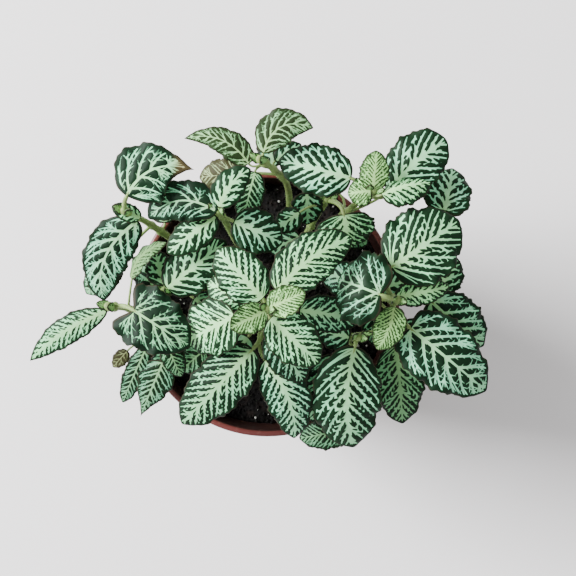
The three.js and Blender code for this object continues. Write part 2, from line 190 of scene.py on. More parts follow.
# The camera stands where the photograph was taken from, looking straight down
CAMERA_PLACE = (9.4, 7.4, 695)
CAMERA_VIEW_DEGREES = 24.53

# The window's place and size, in metres, and how far the floor reaches (mm)
WINDOW_PLACE = (-1.9, 0.65, 1.2)
WINDOW_SIZE = 1.2
FLOOR_REACH = 2500
SEED = 7


# Leaf looks, in millimetres. Side veins end gap apart along the margin, and girth is their half
# width at the midrib. On a veined leaf, finger is that of the finest branches, and twigs stand on
# them. On a feathered one, dark slits fan out from the side veins, and notches reach in from the
# margin. rib is the midrib's half width and band the dark margin's width.
def veined(gap, girth, taper, finger_gap, finger, twig, twig_gap, rib, band, **tones):
    return SimpleNamespace(kind="pale veins", gap=gap, girth=girth, taper=taper, finger_gap=finger_gap,
                           finger=finger, twig=twig, twig_gap=twig_gap, rib=rib, band=band,
                           **{**PLAIN_TONES, **tones})


def feathered(gap, girth, slit_gap, slit, notch_gap, notch, rib, band, **tones):
    return SimpleNamespace(kind="dark slits", gap=gap, girth=girth, taper=0.5, slit_gap=slit_gap,
                           slit=slit, notch_gap=notch_gap, notch=notch, rib=rib, band=band,
                           **{**PLAIN_TONES, **tones})


# youth turns a leaf yellow green, dry turns it brown from dry_from along it, light scales its
# colours, warm makes its veins yellower and mesh scales its mesh spacing
PLAIN_TONES = dict(youth=0, dry=0, dry_from=0, light=1, warm=0.35, mesh=1)
LOOKS = {
    "deep": veined(8.0, 0.42, 0.45, 1.75, 0.17, 2.3, 1.9, 0.6, 1.6, light=0.8),
    "dark": veined(7.2, 0.66, 0.5, 1.55, 0.24, 2.4, 1.6, 0.8, 1.3),
    "withering": veined(8.0, 0.45, 0.45, 1.7, 0.18, 2.3, 1.9, 0.65, 1.4, dry=0.9, dry_from=0.72),
    "medium": feathered(6.0, 0.48, 2.8, 0.68, 1.5, 3.2, 0.8, 1.1, youth=0.08),
    "olive": veined(4.8, 0.36, 0.5, 1.3, 0.18, 1.5, 1.5, 0.5, 0.6, youth=0.4, dry=0.12, light=0.85),
    "dry": veined(4.5, 0.3, 0.5, 1.6, 0.18, 1.2, 2.2, 0.4, 0.8, youth=0.5, dry=0.5, light=0.7),
    "light": feathered(4.6, 0.34, 1.9, 0.4, 1.3, 2.4, 0.8, 0.7, youth=0.1, warm=0.8),
    "pale": feathered(5.0, 0.36, 2.1, 0.48, 1.35, 2.8, 0.8, 0.9, light=0.82),
    "dull": feathered(4.6, 0.3, 2.4, 0.46, 1.4, 2.4, 0.8, 0.9, youth=0.15, light=0.7, warm=0.6),
    "folded": feathered(3.4, 0.28, 1.7, 0.24, 1.2, 1.6, 0.6, 0.4, youth=0.8, light=0.42),
    "young": feathered(2.7, 0.2, 1.5, 0.3, 0.9, 1.4, 0.35, 0.3, youth=1, light=0.88, mesh=0.65),
    "bud": feathered(2.4, 0.25, 1.6, 0.3, 1.0, 1.0, 0.3, 0.2, youth=1, light=0.75, mesh=1.5),
    "narrow": veined(3.6, 0.42, 0.5, 1.2, 0.2, 1.5, 1.7, 0.6, 0.7, youth=0.15, light=0.8),
    "shaded": veined(5.5, 0.8, 0.6, 1.8, 0.3, 1.6, 2.2, 1.0, 1.0, light=0.8, mesh=2),
}


def leaf(height, base, tip, width, look, **shape):
    """One leaf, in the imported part's own terms: the share of the stem at which its stalk starts,
    where its blade starts, its tip and its width in millimetres, and its look, whose colours tone
    scales."""
    plain = dict(belly=0.43, bow=0.09, bend=0, roll=0, cup=-0.14, wave=0.04, sharp=0.62, heart=0.12,
                 tone=1)
    ends = dict(base=np.array(base, float), tip=np.array(tip, float))
    return SimpleNamespace(height=height, width=width, look=look, **ends, **{**plain, **shape})


# The leafy stems: each stem's points (mm) from the soil to its bud, and its leaves
SHOOTS = {
    "shoot_centre": ([(2, -4, SOIL_TOP), (3, -3, 108), (1, -2, 132), (1, -1, 149)], [
        leaf(1, (0, -2, 152), (-14, -9, 157), 13, "young", bow=0.06, cup=0.1),
        leaf(1, (1.5, -1, 152.5), (16.5, 6, 157.5), 13, "young", bow=0.06, cup=0.1),
        leaf(0.93, (-1, 3, 149), (-20, 23.5, 147), 20.5, "light"),
        leaf(0.93, (5, 6, 149), (36, 28, 147), 21.5, "light", bend=-0.08),
        leaf(0.92, (2, -5, 148), (22.5, -24, 143), 20.5, "light", tone=1.2),
        leaf(0.88, (-12.5, -4, 146), (-34.5, -15.5, 124), 24.5, "light"),
        leaf(0.74, (2.5, -10, 138), (16, -32.5, 128), 18.5, "pale", tone=1.1),
        leaf(0.72, (14, -2, 138), (41, -5.5, 131), 16, "pale"),
        leaf(0.74, (-6.5, 2.5, 139), (-25, 9.5, 131), 17, "light"),
        leaf(0.58, (-0.5, -23, 131), (12, -58.5, 112), 20, "pale", bend=-0.09, tone=1.45),
        leaf(0.6, (-5.5, -18.5, 133), (-37, -52, 114), 23.5, "pale", tone=0.92),
        leaf(0.4, (-8, -14, 112), (-26, -36, 100), 18, "shaded"),
        leaf(0.42, (8, 8, 115), (26, 20, 106), 16, "shaded"),
        leaf(0.45, (-6, 5, 116), (-20, 16, 108), 15, "shaded"),
    ]),
    "shoot_top": ([(7, 34, SOIL_TOP), (10, 42, 106), (8, 54, 125), (-1, 60.5, 138)], [
        leaf(0.98, (-7, 59.5, 139), (-34, 70, 140), 12, "olive", bend=0.17, belly=0.3, sharp=0.9),
        leaf(1, (-1, 63.5, 142), (20, 74, 143), 16, "olive", bend=-0.27, sharp=0.85),
        leaf(0.85, (4, 61.5, 130), (15, 69, 128), 9.5, "medium"),
        leaf(0.95, (-4.5, 56.5, 136), (-10, 36.5, 124), 13, "narrow"),
        leaf(0.75, (-11, 56.5, 127), (-29, 55.5, 118), 14.5, "dry"),
        leaf(0.7, (3, 60, 118), (0, 78, 110), 12, "shaded"),
    ]),
    "shoot_inner_left": ([(-13, 27, SOIL_TOP), (-14, 29, 105), (-17, 35, 126), (-19.5, 39.5, 142)], [
        leaf(0.98, (-19, 40.5, 146), (-6, 56.5, 148), 13.5, "medium", bend=-0.11),
        leaf(1, (-20, 39, 146), (-49, 36.5, 140), 17.5, "deep", bend=0.2),
        leaf(0.92, (-20.5, 37.5, 141), (-41.5, 22, 136), 14.5, "medium"),
        leaf(0.85, (-13.5, 35.5, 138), (7, 26.5, 132), 19.5, "medium"),
    ]),
    "shoot_upper_left": ([(-36, 25, SOIL_TOP), (-42, 29, 102), (-52, 36, 121), (-58.5, 39.5, 136)], [
        leaf(1, (-57.5, 45.5, 146), (-29, 56, 149), 27, "withering", bend=-0.2, belly=0.32, sharp=1.5,
             heart=0.15),
        leaf(0.97, (-53, 37, 134), (-65, 42, 136), 8, "light"),
        leaf(0.93, (-54, 36, 134), (-71, 2, 116), 20.5, "dark", bend=0.15, tone=0.85),
        leaf(0.6, (-64, 20.5, 122), (-79.5, 5, 110), 15.5, "narrow"),
        leaf(0.5, (-45, 36, 111), (-46, 54, 103), 14, "shaded"),
    ]),
    "shoot_left": ([(-41, -3, SOIL_TOP), (-46, -3, 100), (-56, -2, 114), (-66, -0.5, 127)], [
        leaf(0.97, (-68.5, -2.5, 124), (-104, -24.6, 112), 12.5, "light", bend=0.05, sharp=0.9),
        leaf(0.96, (-56, -2, 134), (-32, -17, 134), 27, "deep", belly=0.32, heart=0.85, tone=0.92),
        leaf(0.8, (-57.5, 11.5, 129), (-42, 26.5, 132), 11.5, "folded", roll=52, bend=-0.09),
        leaf(0.4, (-49, 4, 111), (-55, 23, 104), 15, "shaded"),
    ]),
    "shoot_mid_left": ([(-28, 6, SOIL_TOP), (-31, 6, 100), (-38, 6, 114), (-43, 6, 125)], [
        leaf(0.97, (-42.5, 7, 128), (-17, 27.5, 129), 21.5, "medium"),
        leaf(0.9, (-44, 8.5, 124), (-48, 23.5, 121), 13, "medium"),
        leaf(0.4, (-30, 9, 110), (-15, 21, 103), 15, "shaded"),
        leaf(0.55, (-32, 3, 114), (-18, -7, 108), 15, "shaded"),
    ]),
    "shoot_upper_right": ([(28, 33, SOIL_TOP), (31, 37, 102), (39, 44, 122), (44.5, 48, 137)], [
        leaf(0.95, (36, 53.5, 138), (5.5, 61.5, 134), 22, "medium"),
        leaf(1, (45, 48.5, 141), (46, 64.5, 145), 12.8, "young"),
        leaf(1, (44, 48, 141), (34.5, 47, 139), 12.5, "young", heart=0.3),
        leaf(0.97, (48.5, 46.5, 141), (69.5, 51.5, 140), 14, "light", cup=-0.6, roll=30),
        leaf(0.9, (52.5, 48, 134), (76.5, 69.5, 136), 23.5, "medium", belly=0.54, bend=-0.07, sharp=0.5),
        leaf(0.5, (54, 50, 112), (70, 62, 104), 14, "shaded"),
        leaf(0.45, (32, 49, 110), (16, 60, 102), 13, "shaded"),
        leaf(0.3, (34, 34, 105), (45, 27, 100), 13, "shaded"),
    ]),
    "shoot_right": ([(40, 3, SOIL_TOP), (44, 3, 104), (51, 3, 124), (54.5, 2.5, 138)], [
        leaf(0.97, (48, 4.5, 148), (31, 11, 134), 31.5, "deep", bow=0.2, heart=0.5, tone=1.1),
        leaf(1, (53.8, -0.5, 141), (47, -18.5, 136), 14, "young", bend=-0.06),
        leaf(0.98, (54.5, 3.5, 138), (78, 8, 131), 11.5, "light"),
        leaf(0.93, (52.5, 16, 140), (81.5, 36, 136), 33, "medium", heart=0.2),
        leaf(0.82, (61, -9.5, 133), (95, -37, 122), 30, "dark", belly=0.38, heart=0.4),
        leaf(0.88, (70.5, 2, 127), (95, -18, 114), 24, "dark", roll=-12, cup=-0.25),
        leaf(0.45, (50, 7, 110), (73, 14, 100), 16, "shaded"),
        leaf(0.5, (60, -8, 112), (84, -27, 101), 15, "shaded"),
        leaf(0.5, (42, 8, 120), (24, 15, 113), 16, "shaded"),
        leaf(0.35, (47, -2, 108), (50, -19, 101), 13, "shaded"),
    ]),
    "shoot_far_right": ([(43, 18, SOIL_TOP), (49, 20, 99), (62, 26, 112), (72, 30, 123)], [
        leaf(0.98, (76, 40, 131), (80.5, 59, 122), 20.5, "medium", heart=0.5),
        leaf(0.9, (74.5, 6, 122), (82, 21.5, 118), 16, "medium"),
        leaf(0.75, (68, 29, 113), (87, 34, 103), 17, "medium"),
    ]),
    "shoot_front": ([(32, -14, SOIL_TOP), (34, -14, 102), (37, -14, 118), (39, -13.5, 128)], [
        leaf(0.96, (38, -17.5, 130), (38.5, -63, 108), 30.5, "medium", belly=0.48, bend=0.07),
        leaf(0.6, (56.5, -17.5, 117), (60.5, -53, 103), 22, "dull"),
        leaf(0.5, (38, -55, 104), (14.5, -60, 100), 15, "narrow"),
        leaf(1, (40.5, -12.5, 130), (45.5, -12, 131), 3, "young"),
        leaf(0.85, (36, -14, 126), (22, -10.5, 122), 14, "medium"),
        leaf(0.7, (30, -22, 118), (20, -52, 106), 18, "shaded"),
        leaf(0.4, (36, -20, 107), (47, -40, 97), 15, "shaded"),
    ]),
    "shoot_lower_left": ([(-36, -17, SOIL_TOP), (-39, -17, 97), (-44, -17, 108), (-47, -17.5, 117)], [
        leaf(0.8, (-52.5, -18, 112), (-65, -44, 98), 10, "narrow"),
        leaf(0.75, (-45.5, -25, 112), (-57, -50.5, 98), 16.5, "narrow", belly=0.28, sharp=1.6),
        leaf(0.97, (-43.5, -16.5, 120), (-37.5, -31.5, 112), 10.5, "narrow"),
        leaf(0.5, (-62, -20.5, 106), (-69, -28, 100), 7, "dry"),
        leaf(0.85, (-27, -19.5, 116), (-38, -29, 110), 12.5, "narrow"),
        leaf(0.4, (-41, -20, 105), (-51, -35, 99), 14, "shaded"),
    ]),
    "shoot_back": ([(17, 30, SOIL_TOP), (19, 34, 98), (23, 41, 110), (26, 45.5, 119)], [
        leaf(0.9, (17.5, 48.5, 124), (18, 35.5, 112), 14, "medium"),
        leaf(1, (33.3, 39, 128), (35.8, 24.5, 116), 26, "light"),
        leaf(0.8, (14.5, 40, 126), (4, 32.5, 121), 11, "medium"),
        leaf(0.4, (15, 30, 108), (1, 24, 102), 13, "shaded"),
    ]),
}


def linear(hex_colour):
    """A linear colour from an sRGB hex value."""
    channels = [int(hex_colour[i:i + 2], 16) / 255 for i in (1, 3, 5)]
    return tuple(c / 12.92 if c <= 0.04045 else ((c + 0.055) / 1.055) ** 2.4 for c in channels)


def colour_property(label, text, hex_colour):
    return FloatVectorProperty(name=label, description=text, subtype="COLOR", min=0, max=1,
                               default=linear(hex_colour))


class PotSettings(bpy.types.PropertyGroup):
    colour: colour_property("Pot colour", "The brown-red of the moulded plastic", "#5A241F")
    roughness: FloatProperty(name="Roughness", description="How satin the moulded plastic is",
                             default=0.42, min=0, max=1, subtype="FACTOR")


class SoilSettings(bpy.types.PropertyGroup):
    colour: colour_property("Soil colour", "Damp peat", "#090706")
    crumb_radius: FloatProperty(name="Crumb size", description="Radius of a large peat crumb",
                                default=1.0 * MM, unit="LENGTH")
    crumbs: IntProperty(name="Crumbs", description="Peat crumbs for each square centimetre", default=26)
    grains: IntProperty(name="White grains", description="Perlite grains for each square decimetre",
                        default=260)


class FoliageSettings(bpy.types.PropertyGroup):
    cell: colour_property("Leaf colour", "The dark green between the veins", "#0A2412")
    vein: colour_property("Vein colour", "The cool mint of most leaves' veins", "#88DCB6")
    warm_vein: colour_property("Warm vein colour", "The yellower mint of other leaves' veins", "#92E296")
    young_cell: colour_property("Young leaf colour", "The green between a young leaf's veins", "#28451F")
    young_vein: colour_property("Young vein colour", "The yellow green of a young leaf's veins", "#98D47E")
    underside: colour_property("Underside colour", "The grey green under the leaf", "#6F8B6B")
    stem: colour_property("Stem colour", "The olive green of stems and stalks", "#64803C")
    spacing: FloatProperty(name="Mesh spacing", description="Distance between points of a blade",
                           default=0.295 * MM, unit="LENGTH")
    hair_length: FloatProperty(name="Hair length", description="Length of the hairs on the stems",
                               default=0.9 * MM, unit="LENGTH")
    hairs: FloatProperty(name="Hairs", description="Hairs for each square millimetre of stem", default=0.9)


class StageSettings(bpy.types.PropertyGroup):
    floor: colour_property("Floor colour", "The pale floor", "#F2EFED")
    window_power: FloatProperty(name="Window light", description="Power of the soft main light",
                                default=245.0, unit="POWER")
    sky: FloatProperty(name="Room light", description="Strength of the light from all round",
                       default=0.85, min=0)


def settings(name):
    """The scene's own settings for one group of pieces."""
    return getattr(bpy.context.scene, f"nerve_plant_{name}")


def add_node(tree, kind, inputs=None, **values):
    """Adds a node to a tree. inputs maps a socket's name or number to a value or another output."""
    node = tree.nodes.new(kind)
    for key, value in values.items():
        setattr(node, key, value)
    for key, value in (inputs or {}).items():
        if isinstance(value, bpy.types.NodeSocket):
            tree.links.new(value, node.inputs[key])
        else:
            node.inputs[key].default_value = value
    return node


def new_material(name):
    """An empty node material and its tree."""
    material = bpy.data.materials.new(name)
    material.use_nodes = True
    material.node_tree.nodes.clear()
    return material, material.node_tree


def paint(colour):
    """What a colour input takes: a node's output, or a hex value or setting made opaque."""
    if isinstance(colour, bpy.types.NodeSocket):
        return colour
    return (*(linear(colour) if isinstance(colour, str) else colour), 1)


def cells_in(size_mm):
    """A texture scale on Object coordinates (metres) for a feature of this size."""
    return 1 / (size_mm * MM)


def object_place(tree):
    """Where a point lies on its piece, in metres."""
    return add_node(tree, "ShaderNodeTexCoord").outputs["Object"]


def attribute(tree, name):
    """A value that the mesh carries at each of its points."""
    return add_node(tree, "ShaderNodeAttribute", attribute_name=name).outputs["Fac"]


def noise(tree, place, size, detail=2.0, roughness=0.5):
    """Cloudy noise from 0 to 1, with features of this size in millimetres."""
    inputs = {"Vector": place, "Scale": cells_in(size), "Detail": detail, "Roughness": roughness}
    return add_node(tree, "ShaderNodeTexNoise", inputs).outputs["Fac"]


def ranged(tree, value, low, high, start=0.0, end=1.0, smooth=False):
    """A value between start and end, turned to one between low and high."""
    inputs = {"Value": value, "From Min": start, "From Max": end, "To Min": low, "To Max": high}
    kind = "SMOOTHSTEP" if smooth else "LINEAR"
    return add_node(tree, "ShaderNodeMapRange", inputs, interpolation_type=kind).outputs["Result"]


def combined(tree, operation, first, second):
    return add_node(tree, "ShaderNodeMath", {0: first, 1: second}, operation=operation).outputs[0]


def mixed(tree, share, first, second):
    """The first colour turning into the second as share goes from 0 to 1."""
    inputs = {"Factor": share, 6: paint(first), 7: paint(second)}
    return add_node(tree, "ShaderNodeMix", inputs, data_type="RGBA").outputs[2]


def toned(tree, colour, value):
    """A colour made darker or lighter: 1 leaves it as it is."""
    inputs = {"Value": value, "Color": paint(colour)}
    return add_node(tree, "ShaderNodeHueSaturation", inputs).outputs["Color"]


def bumped(tree, height, strength, depth):
    """The surface's normal over fine bumps, up to depth millimetres high."""
    inputs = {"Strength": strength, "Distance": depth * MM, "Height": height}
    return add_node(tree, "ShaderNodeBump", inputs).outputs["Normal"]


def finish_material(material, colour, roughness, more=None):
    """Gives a material its surface: its colour, its roughness and more of the shader's inputs."""
    tree = material.node_tree
    inputs = {"Base Color": paint(colour), "Roughness": roughness, **(more or {})}
    shader = add_node(tree, "ShaderNodeBsdfPrincipled", inputs)
    add_node(tree, "ShaderNodeOutputMaterial", {"Surface": shader.outputs[0]})
    return material


def leaf_material(foliage):
    """Living leaf blade, grown and slightly waxy: a satin face, dark cells, pale branching veins
    with ragged edges, and a thin brown line along the margin."""
    material, tree = new_material("grown_leaf_face")
    place = object_place(tree)
    youth = attribute(tree, "youth")
    # shade scales each leaf's colours: its own tone, and on lower leaves painted shade as well
    shade = attribute(tree, "shade")

    ragged = ranged(tree, noise(tree, place, 0.8), -0.06, 0.06)
    depth = combined(tree, "ADD", attribute(tree, "vein"), ragged)
    mask = ranged(tree, depth, 0.0, 1.0, start=-0.09, end=0.11, smooth=True)

    cell = mixed(tree, youth, foliage.cell, foliage.young_cell)
    mint = mixed(tree, attribute(tree, "warmth"), foliage.vein, foliage.warm_vein)
    own_mint = mixed(tree, youth, mint, foliage.young_vein)
    midrib_share = combined(tree, "MULTIPLY", attribute(tree, "rib"), 0.6)
    pale = mixed(tree, midrib_share, own_mint, "#A9C97E")
    blotch = ranged(tree, noise(tree, place, 7, detail=3.0), 0.7, 1.3)
    toned_cell = toned(tree, cell, combined(tree, "MULTIPLY", blotch, shade))
    face = mixed(tree, mask, toned_cell, toned(tree, pale, shade))
    withered = mixed(tree, mask, "#4A4028", "#A79A6C")
    drying = mixed(tree, attribute(tree, "dry"), face, withered)
    margin = ranged(tree, attribute(tree, "edge"), 1.0, 0.0, start=0.12, end=0.5, smooth=True)
    colour = mixed(tree, margin, drying, "#2A271A")

    normal = bumped(tree, noise(tree, place, 0.5), 0.35, 0.1)
    roughness = ranged(tree, mask, 0.56, 0.62)
    return finish_material(material, colour, roughness,
                           {"IOR": PLANT_IOR, "Specular IOR Level": 0.14, "Normal": normal})


def underside_material(foliage):
    """The leaf's grown underside, dull and paler, with its veins showing faintly."""
    material, tree = new_material("grown_leaf_underside")
    blotch = noise(tree, object_place(tree), 3)
    green = toned(tree, foliage.underside, ranged(tree, blotch, 0.75, 1.25))
    faint = ranged(tree, attribute(tree, "vein"), 0.0, 0.5, start=-0.6, end=0.3)
    return finish_material(material, mixed(tree, faint, green, foliage.vein), 0.65, {"IOR": PLANT_IOR})


def stem_material(foliage):
    """Soft green stem, ridged lengthways as it grew, browner and duller in patches."""
    material, tree = new_material("grown_stem")
    place = object_place(tree)
    ridges = add_node(tree, "ShaderNodeMapping", {"Vector": place, "Scale": (1, 1, 0.25)}).outputs[0]
    streak = noise(tree, ridges, 0.7, detail=3.0)
    brown = ranged(tree, noise(tree, place, 6), 0.0, 0.6, start=0.5, end=0.8)
    colour = mixed(tree, brown, mixed(tree, streak, foliage.stem, "#8FA765"), "#5A4A2C")
    return finish_material(material, colour, 0.55,
                           {"IOR": PLANT_IOR, "Normal": bumped(tree, streak, 0.5, 0.15)})


def hair_material():
    """Fine plant hairs: colourless and soft, so they catch a grey light along the stem."""
    return finish_material(new_material("plant_hair")[0], "#A9B59A", 0.6)


def pot_material(pot):
    """Injection-moulded polypropylene, satin, with a fine moulded grain, faint turning marks from the
    mould, a dusting of dried water and soil, and painted shade, nearly black, over its inner side."""
    material, tree = new_material("moulded_polypropylene")
    place = object_place(tree)
    cloud = noise(tree, place, 14, detail=4.0)
    clean = toned(tree, pot.colour, ranged(tree, cloud, 0.85, 1.15))
    # Painted shade: the pot's inner side turns nearly black, as where the leaves shade it
    painted_inner_shade = combined(tree, "MULTIPLY", attribute(tree, "painted_inner_shade"), ranged(tree, cloud, 0.7, 1.0))
    dust = noise(tree, place, 2.2, detail=5.0, roughness=0.7)
    dusty = ranged(tree, dust, 0.0, 0.35, start=0.58, end=0.75)
    # The plastic's own colour, under painted shade on its inner side, with real dust over all
    colour = mixed(tree, dusty, mixed(tree, painted_inner_shade, clean, "#1D1410"), "#8D6F60")
    rings = add_node(tree, "ShaderNodeTexWave",
                     {"Vector": place, "Scale": cells_in(20), "Distortion": 0.2},
                     bands_direction="Z").outputs["Fac"]
    relief = combined(tree, "ADD", rings, noise(tree, place, 0.35))
    roughness = ranged(tree, cloud, pot.roughness - 0.07, pot.roughness + 0.1)
    return finish_material(material, colour, roughness,
                           {"IOR": PLASTIC_IOR, "Normal": bumped(tree, relief, 0.25, 0.08)})


def soil_material(soil):
    """Damp peat and bark, crumbled: nearly black, rough, with browner fibres."""
    material, tree = new_material("damp_peat")
    place = object_place(tree)
    crumb = add_node(tree, "ShaderNodeTexVoronoi", {"Vector": place, "Scale": cells_in(1.6)})
    brown = ranged(tree, noise(tree, place, 4, detail=4.0), 0.0, 1.0, start=0.5, end=0.7)
    normal = bumped(tree, crumb.outputs["Distance"], 0.8, 0.6)
    return finish_material(material, mixed(tree, brown, soil.colour, "#17100C"), 0.9,
                           {"Specular IOR Level": 0.2, "Normal": normal})


def perlite_material():
    """Perlite: expanded volcanic glass, white, dull and lightly soiled."""
    material, tree = new_material("expanded_perlite")
    soiling = noise(tree, object_place(tree), 0.8)
    return finish_material(material, mixed(tree, soiling, "#C9C8C2", "#6E6A62"), 0.8)


def floor_material(stage):
    """Plain painted board: pale and matt."""
    return finish_material(new_material("painted_board")[0], stage.floor, 0.75)


def new_piece(name, points, faces, materials, face_material=None, attributes=None):
    """A smooth-shaded mesh object from points in millimetres, with its place in its mesh."""
    mesh = bpy.data.meshes.new(name)
    mesh.from_pydata((np.asarray(points) * MM).tolist(), [], faces)
    for material in materials:
        mesh.materials.append(material)
    if face_material is not None:
        mesh.polygons.foreach_set("material_index", np.asarray(face_material, np.int32))
    mesh.polygons.foreach_set("use_smooth", np.ones(len(mesh.polygons), bool))
    for key, values in (attributes or {}).items():
        layer = mesh.attributes.new(key, "FLOAT", "POINT")
        layer.data.foreach_set("value", np.asarray(values, np.float32))
    mesh.update()
    piece = bpy.data.objects.new(name, mesh)
    bpy.context.collection.objects.link(piece)
    return piece


def hand_over(piece, slot, *nodes):
    """Seats a finished piece in the frame on the root body and hides the imported parts it stands for. Its
    slot is not used.
    """
    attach(piece, "root")
    if nodes:
        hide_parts(*nodes)


def unit(vectors):
    return vectors / np.linalg.norm(vectors, axis=-1, keepdims=True)


def blade_length(blade):
    return float(np.linalg.norm(blade.tip - blade.base))


def midrib(blade, t):
    """The midrib's points at each t, with the blade's directions there: along, normal and side."""
    length = blade_length(blade)
    forward = (blade.tip - blade.base) / length
    level = unit(np.cross(forward, (0.0, 0.0, 1.0)))
    rise = np.cross(level, forward)
    roll = math.radians(blade.roll)
    up = rise * math.cos(roll) - level * math.sin(roll)
    t = np.asarray(t, float)[..., None]
    arch = 4 * t * (1 - t) * length
    slope = 4 * (1 - 2 * t)
    point = blade.base + forward * length * t + up * blade.bow * arch + level * blade.bend * arch
    along = unit(forward + up * blade.bow * slope + level * blade.bend * slope)
    normal = unit(up - along * (along @ up)[..., None])
    return point, along, normal, np.cross(along, normal)


def half_width(blade, t):
    """Half the blade's width at t, in millimetres."""
    t = np.clip(t, 0, 1)
    start = blade.sharp * blade.belly / (1 - blade.belly)
    widest = blade.belly ** start * (1 - blade.belly) ** blade.sharp
    scallop = 1 + EDGE_SCALLOP * np.cos(2 * math.pi * EDGE_WAVES * t)
    return blade.width / 2 * t ** start * (1 - t) ** blade.sharp / widest * scallop


def lobe_sweep(blade, half, t, v):
    """How far a point is swept back towards the stalk, which gives the base its two lobes."""
    return blade.heart * half * v * v * (1 - t) ** 3


def flat_place(blade, t, v):
    """Where a point lies on the blade laid flat: along and across the midrib, in millimetres."""
    half = half_width(blade, t)
    return np.stack([blade_length(blade) * t - lobe_sweep(blade, half, t, v), half * v], axis=-1)


def blade_surface(blade, t, v, lift):
    """The blade's points, t along it and v across it, raised by lift."""
    point, along, normal, side = midrib(blade, t)
    half = half_width(blade, t)
    across = np.abs(v)
    phase = np.where(v < 0, 1.9, 0.0)
    wave = blade.wave * blade.width * np.sin(2 * math.pi * EDGE_WAVES * t + phase) * across ** 3
    taper = np.minimum(1, 2 * half / blade.width)
    own_phase = phase + blade.base[0] + blade.tip[1]
    teeth = MARGIN_TOOTH * np.sin(2 * math.pi * MARGIN_TEETH * t + 3 * phase)
    lobes = MARGIN_LOBE * np.sin(2 * math.pi * MARGIN_LOBES * t + own_phase)
    tooth = 1 + (teeth + lobes) * across ** 6
    rise = blade.cup * half * across ** 1.5 + wave * taper + lift
    sweep = lobe_sweep(blade, half, t, v)
    point = point + side * (half * v * tooth)[..., None] - along * sweep[..., None]
    return point + normal * rise[..., None]


def vein_angle(t):
    """The angle (radians) at which a side vein leaves the midrib at t."""
    return np.radians(VEIN_ANGLE - VEIN_ANGLE_LOSS * np.clip(t, 0, 1) ** 0.7)


def vein_line(blade, foot, run):
    """The flat place that a vein from a foot on the midrib has reached after a run, all in
    millimetres. A foot below zero is a turn round the blade's base instead."""
    on_rib = np.clip(foot, 0, None)
    heading = vein_angle(on_rib / blade_length(blade)) - BASE_FAN * np.clip(foot, None, 0) - VEIN_CURL * run
    return np.stack([on_rib + run * np.cos(heading), run * np.sin(heading)], axis=-1)


def inside_blade(blade, places, margin):
    """Which flat places lie on the blade, further than margin (mm) from its edge."""
    x, y = places[..., 0], places[..., 1]
    t = np.full(x.shape, 0.2)
    for _ in range(10):
        half = np.maximum(half_width(blade, t), 1)
        there = (x + blade.heart * y ** 2 / half * (1 - t) ** 3) / blade_length(blade)
        t = (t + np.clip(there, 0.01, 0.99)) / 2
    return (t > 0.012) & (t < 0.988) & (np.abs(y) < half_width(blade, t) - margin)


def margin_lines(blade, band):
    """For feet all along one side: each line's foot, its run to the margin's band, and how far
    along the margin it ends."""
    turn = 0.55 + 1.1 * blade.heart
    feet = np.concatenate([-np.linspace(turn, 0, 60, endpoint=False) / BASE_FAN,
                           np.linspace(0, RIB_END * blade_length(blade), 240)])
    runs = np.arange(0.3, 1.2 * blade.width, 0.3)
    inside = inside_blade(blade, vein_line(blade, feet[:, None], runs), band)
    reach = (runs * inside).max(1) + 0.15
    ends = vein_line(blade, feet, reach)
    along = np.concatenate([[0], np.cumsum(np.linalg.norm(np.diff(ends, axis=0), axis=1))])
    return feet, reach, along


def spread(lines, gap, draw):
    """Lines that end evenly along the margin: each one's foot, run and place on the margin."""
    feet, reach, along = lines
    places = np.arange(gap * draw.uniform(0.3, 0.7), along[-1], gap)
    places = places + draw.uniform(-0.28, 0.28, len(places)) * gap
    return [SimpleNamespace(foot=f, run=r, place=p) for f, r, p in
            zip(np.interp(places, along, feet), np.interp(places, along, reach), places)]


def stroke(blade, turn, foot, runs, girths):
    """A mark that follows a vein line on one side of the midrib: its places and half widths."""
    places = vein_line(blade, foot + 0 * np.asarray(runs, float), np.asarray(runs, float)) * (1, turn)
    return places, np.broadcast_to(girths, len(places))


def size_of(blade, least, full_width):
    """How large a blade's marks are: 1 from a full width on, and less on a smaller blade."""
    return least + (1 - least) * min(1, blade.width / full_width)


def midrib_mark(blade, look, size):
    """The midrib's pale mark, which thins towards the tip."""
    t = np.linspace(0, RIB_END, 24)
    return np.column_stack([t * blade_length(blade), 0 * t]), size * look.rib * (1 - 0.75 * t)


def start_on(blade, turn, vein, run, step):
    """Where a mark that leaves a vein starts, and the vein's direction there."""
    runs = np.array([run, run + step])
    (foot, ahead), _ = stroke(blade, turn, np.interp(runs, vein.runs, vein.feet), runs, 0)
    return foot, math.atan2(ahead[1] - foot[1], ahead[0] - foot[0])


def side_vein(vein, look, size, draw):
    """A side vein's path, as its feet and runs, with a slight sway, and its half widths."""
    s = np.linspace(0, 1, 14)
    sway = VEIN_SWAY * (np.sin(3 * s + draw.uniform(0, 6)) + draw.uniform(-1.2, 1.2) * s) * s
    girths = size * look.girth * (1 - look.taper * s) * (0.7 if vein.foot < 0 else 1)
    return SimpleNamespace(feet=vein.foot + sway, runs=vein.run * s, girths=girths, place=vein.place)


def branch_between(lines, first, second, level, look, size, draw):
    """A finer vein that leaves one of two neighbours and ends between them near the margin."""
    feet, reach, along = lines
    place = first.place + (second.place - first.place) * draw.uniform(0.38, 0.62)
    parent = (first, second)[draw.integers(2)]
    run = np.interp(place, along, reach) * draw.uniform(0.82, 1)
    back = abs(place - parent.place) / BRANCH_SLOPES[min(level, 2)] * draw.uniform(0.8, 1.2)
    start = min(max(parent.runs[-1] - back, parent.runs[0] + 0.8), run - 0.6)
    root = np.interp(start, parent.runs, parent.feet)
    girth = max(0.55 * np.interp(start, parent.runs, parent.girths), 1.2 * size * look.finger)
    u = np.linspace(0, 1, 8)
    return SimpleNamespace(feet=root + (np.interp(place, along, feet) - root) * u ** 0.8,
                           runs=start + (run - start) * u, girths=girth * (1 - 0.5 * u), place=place)


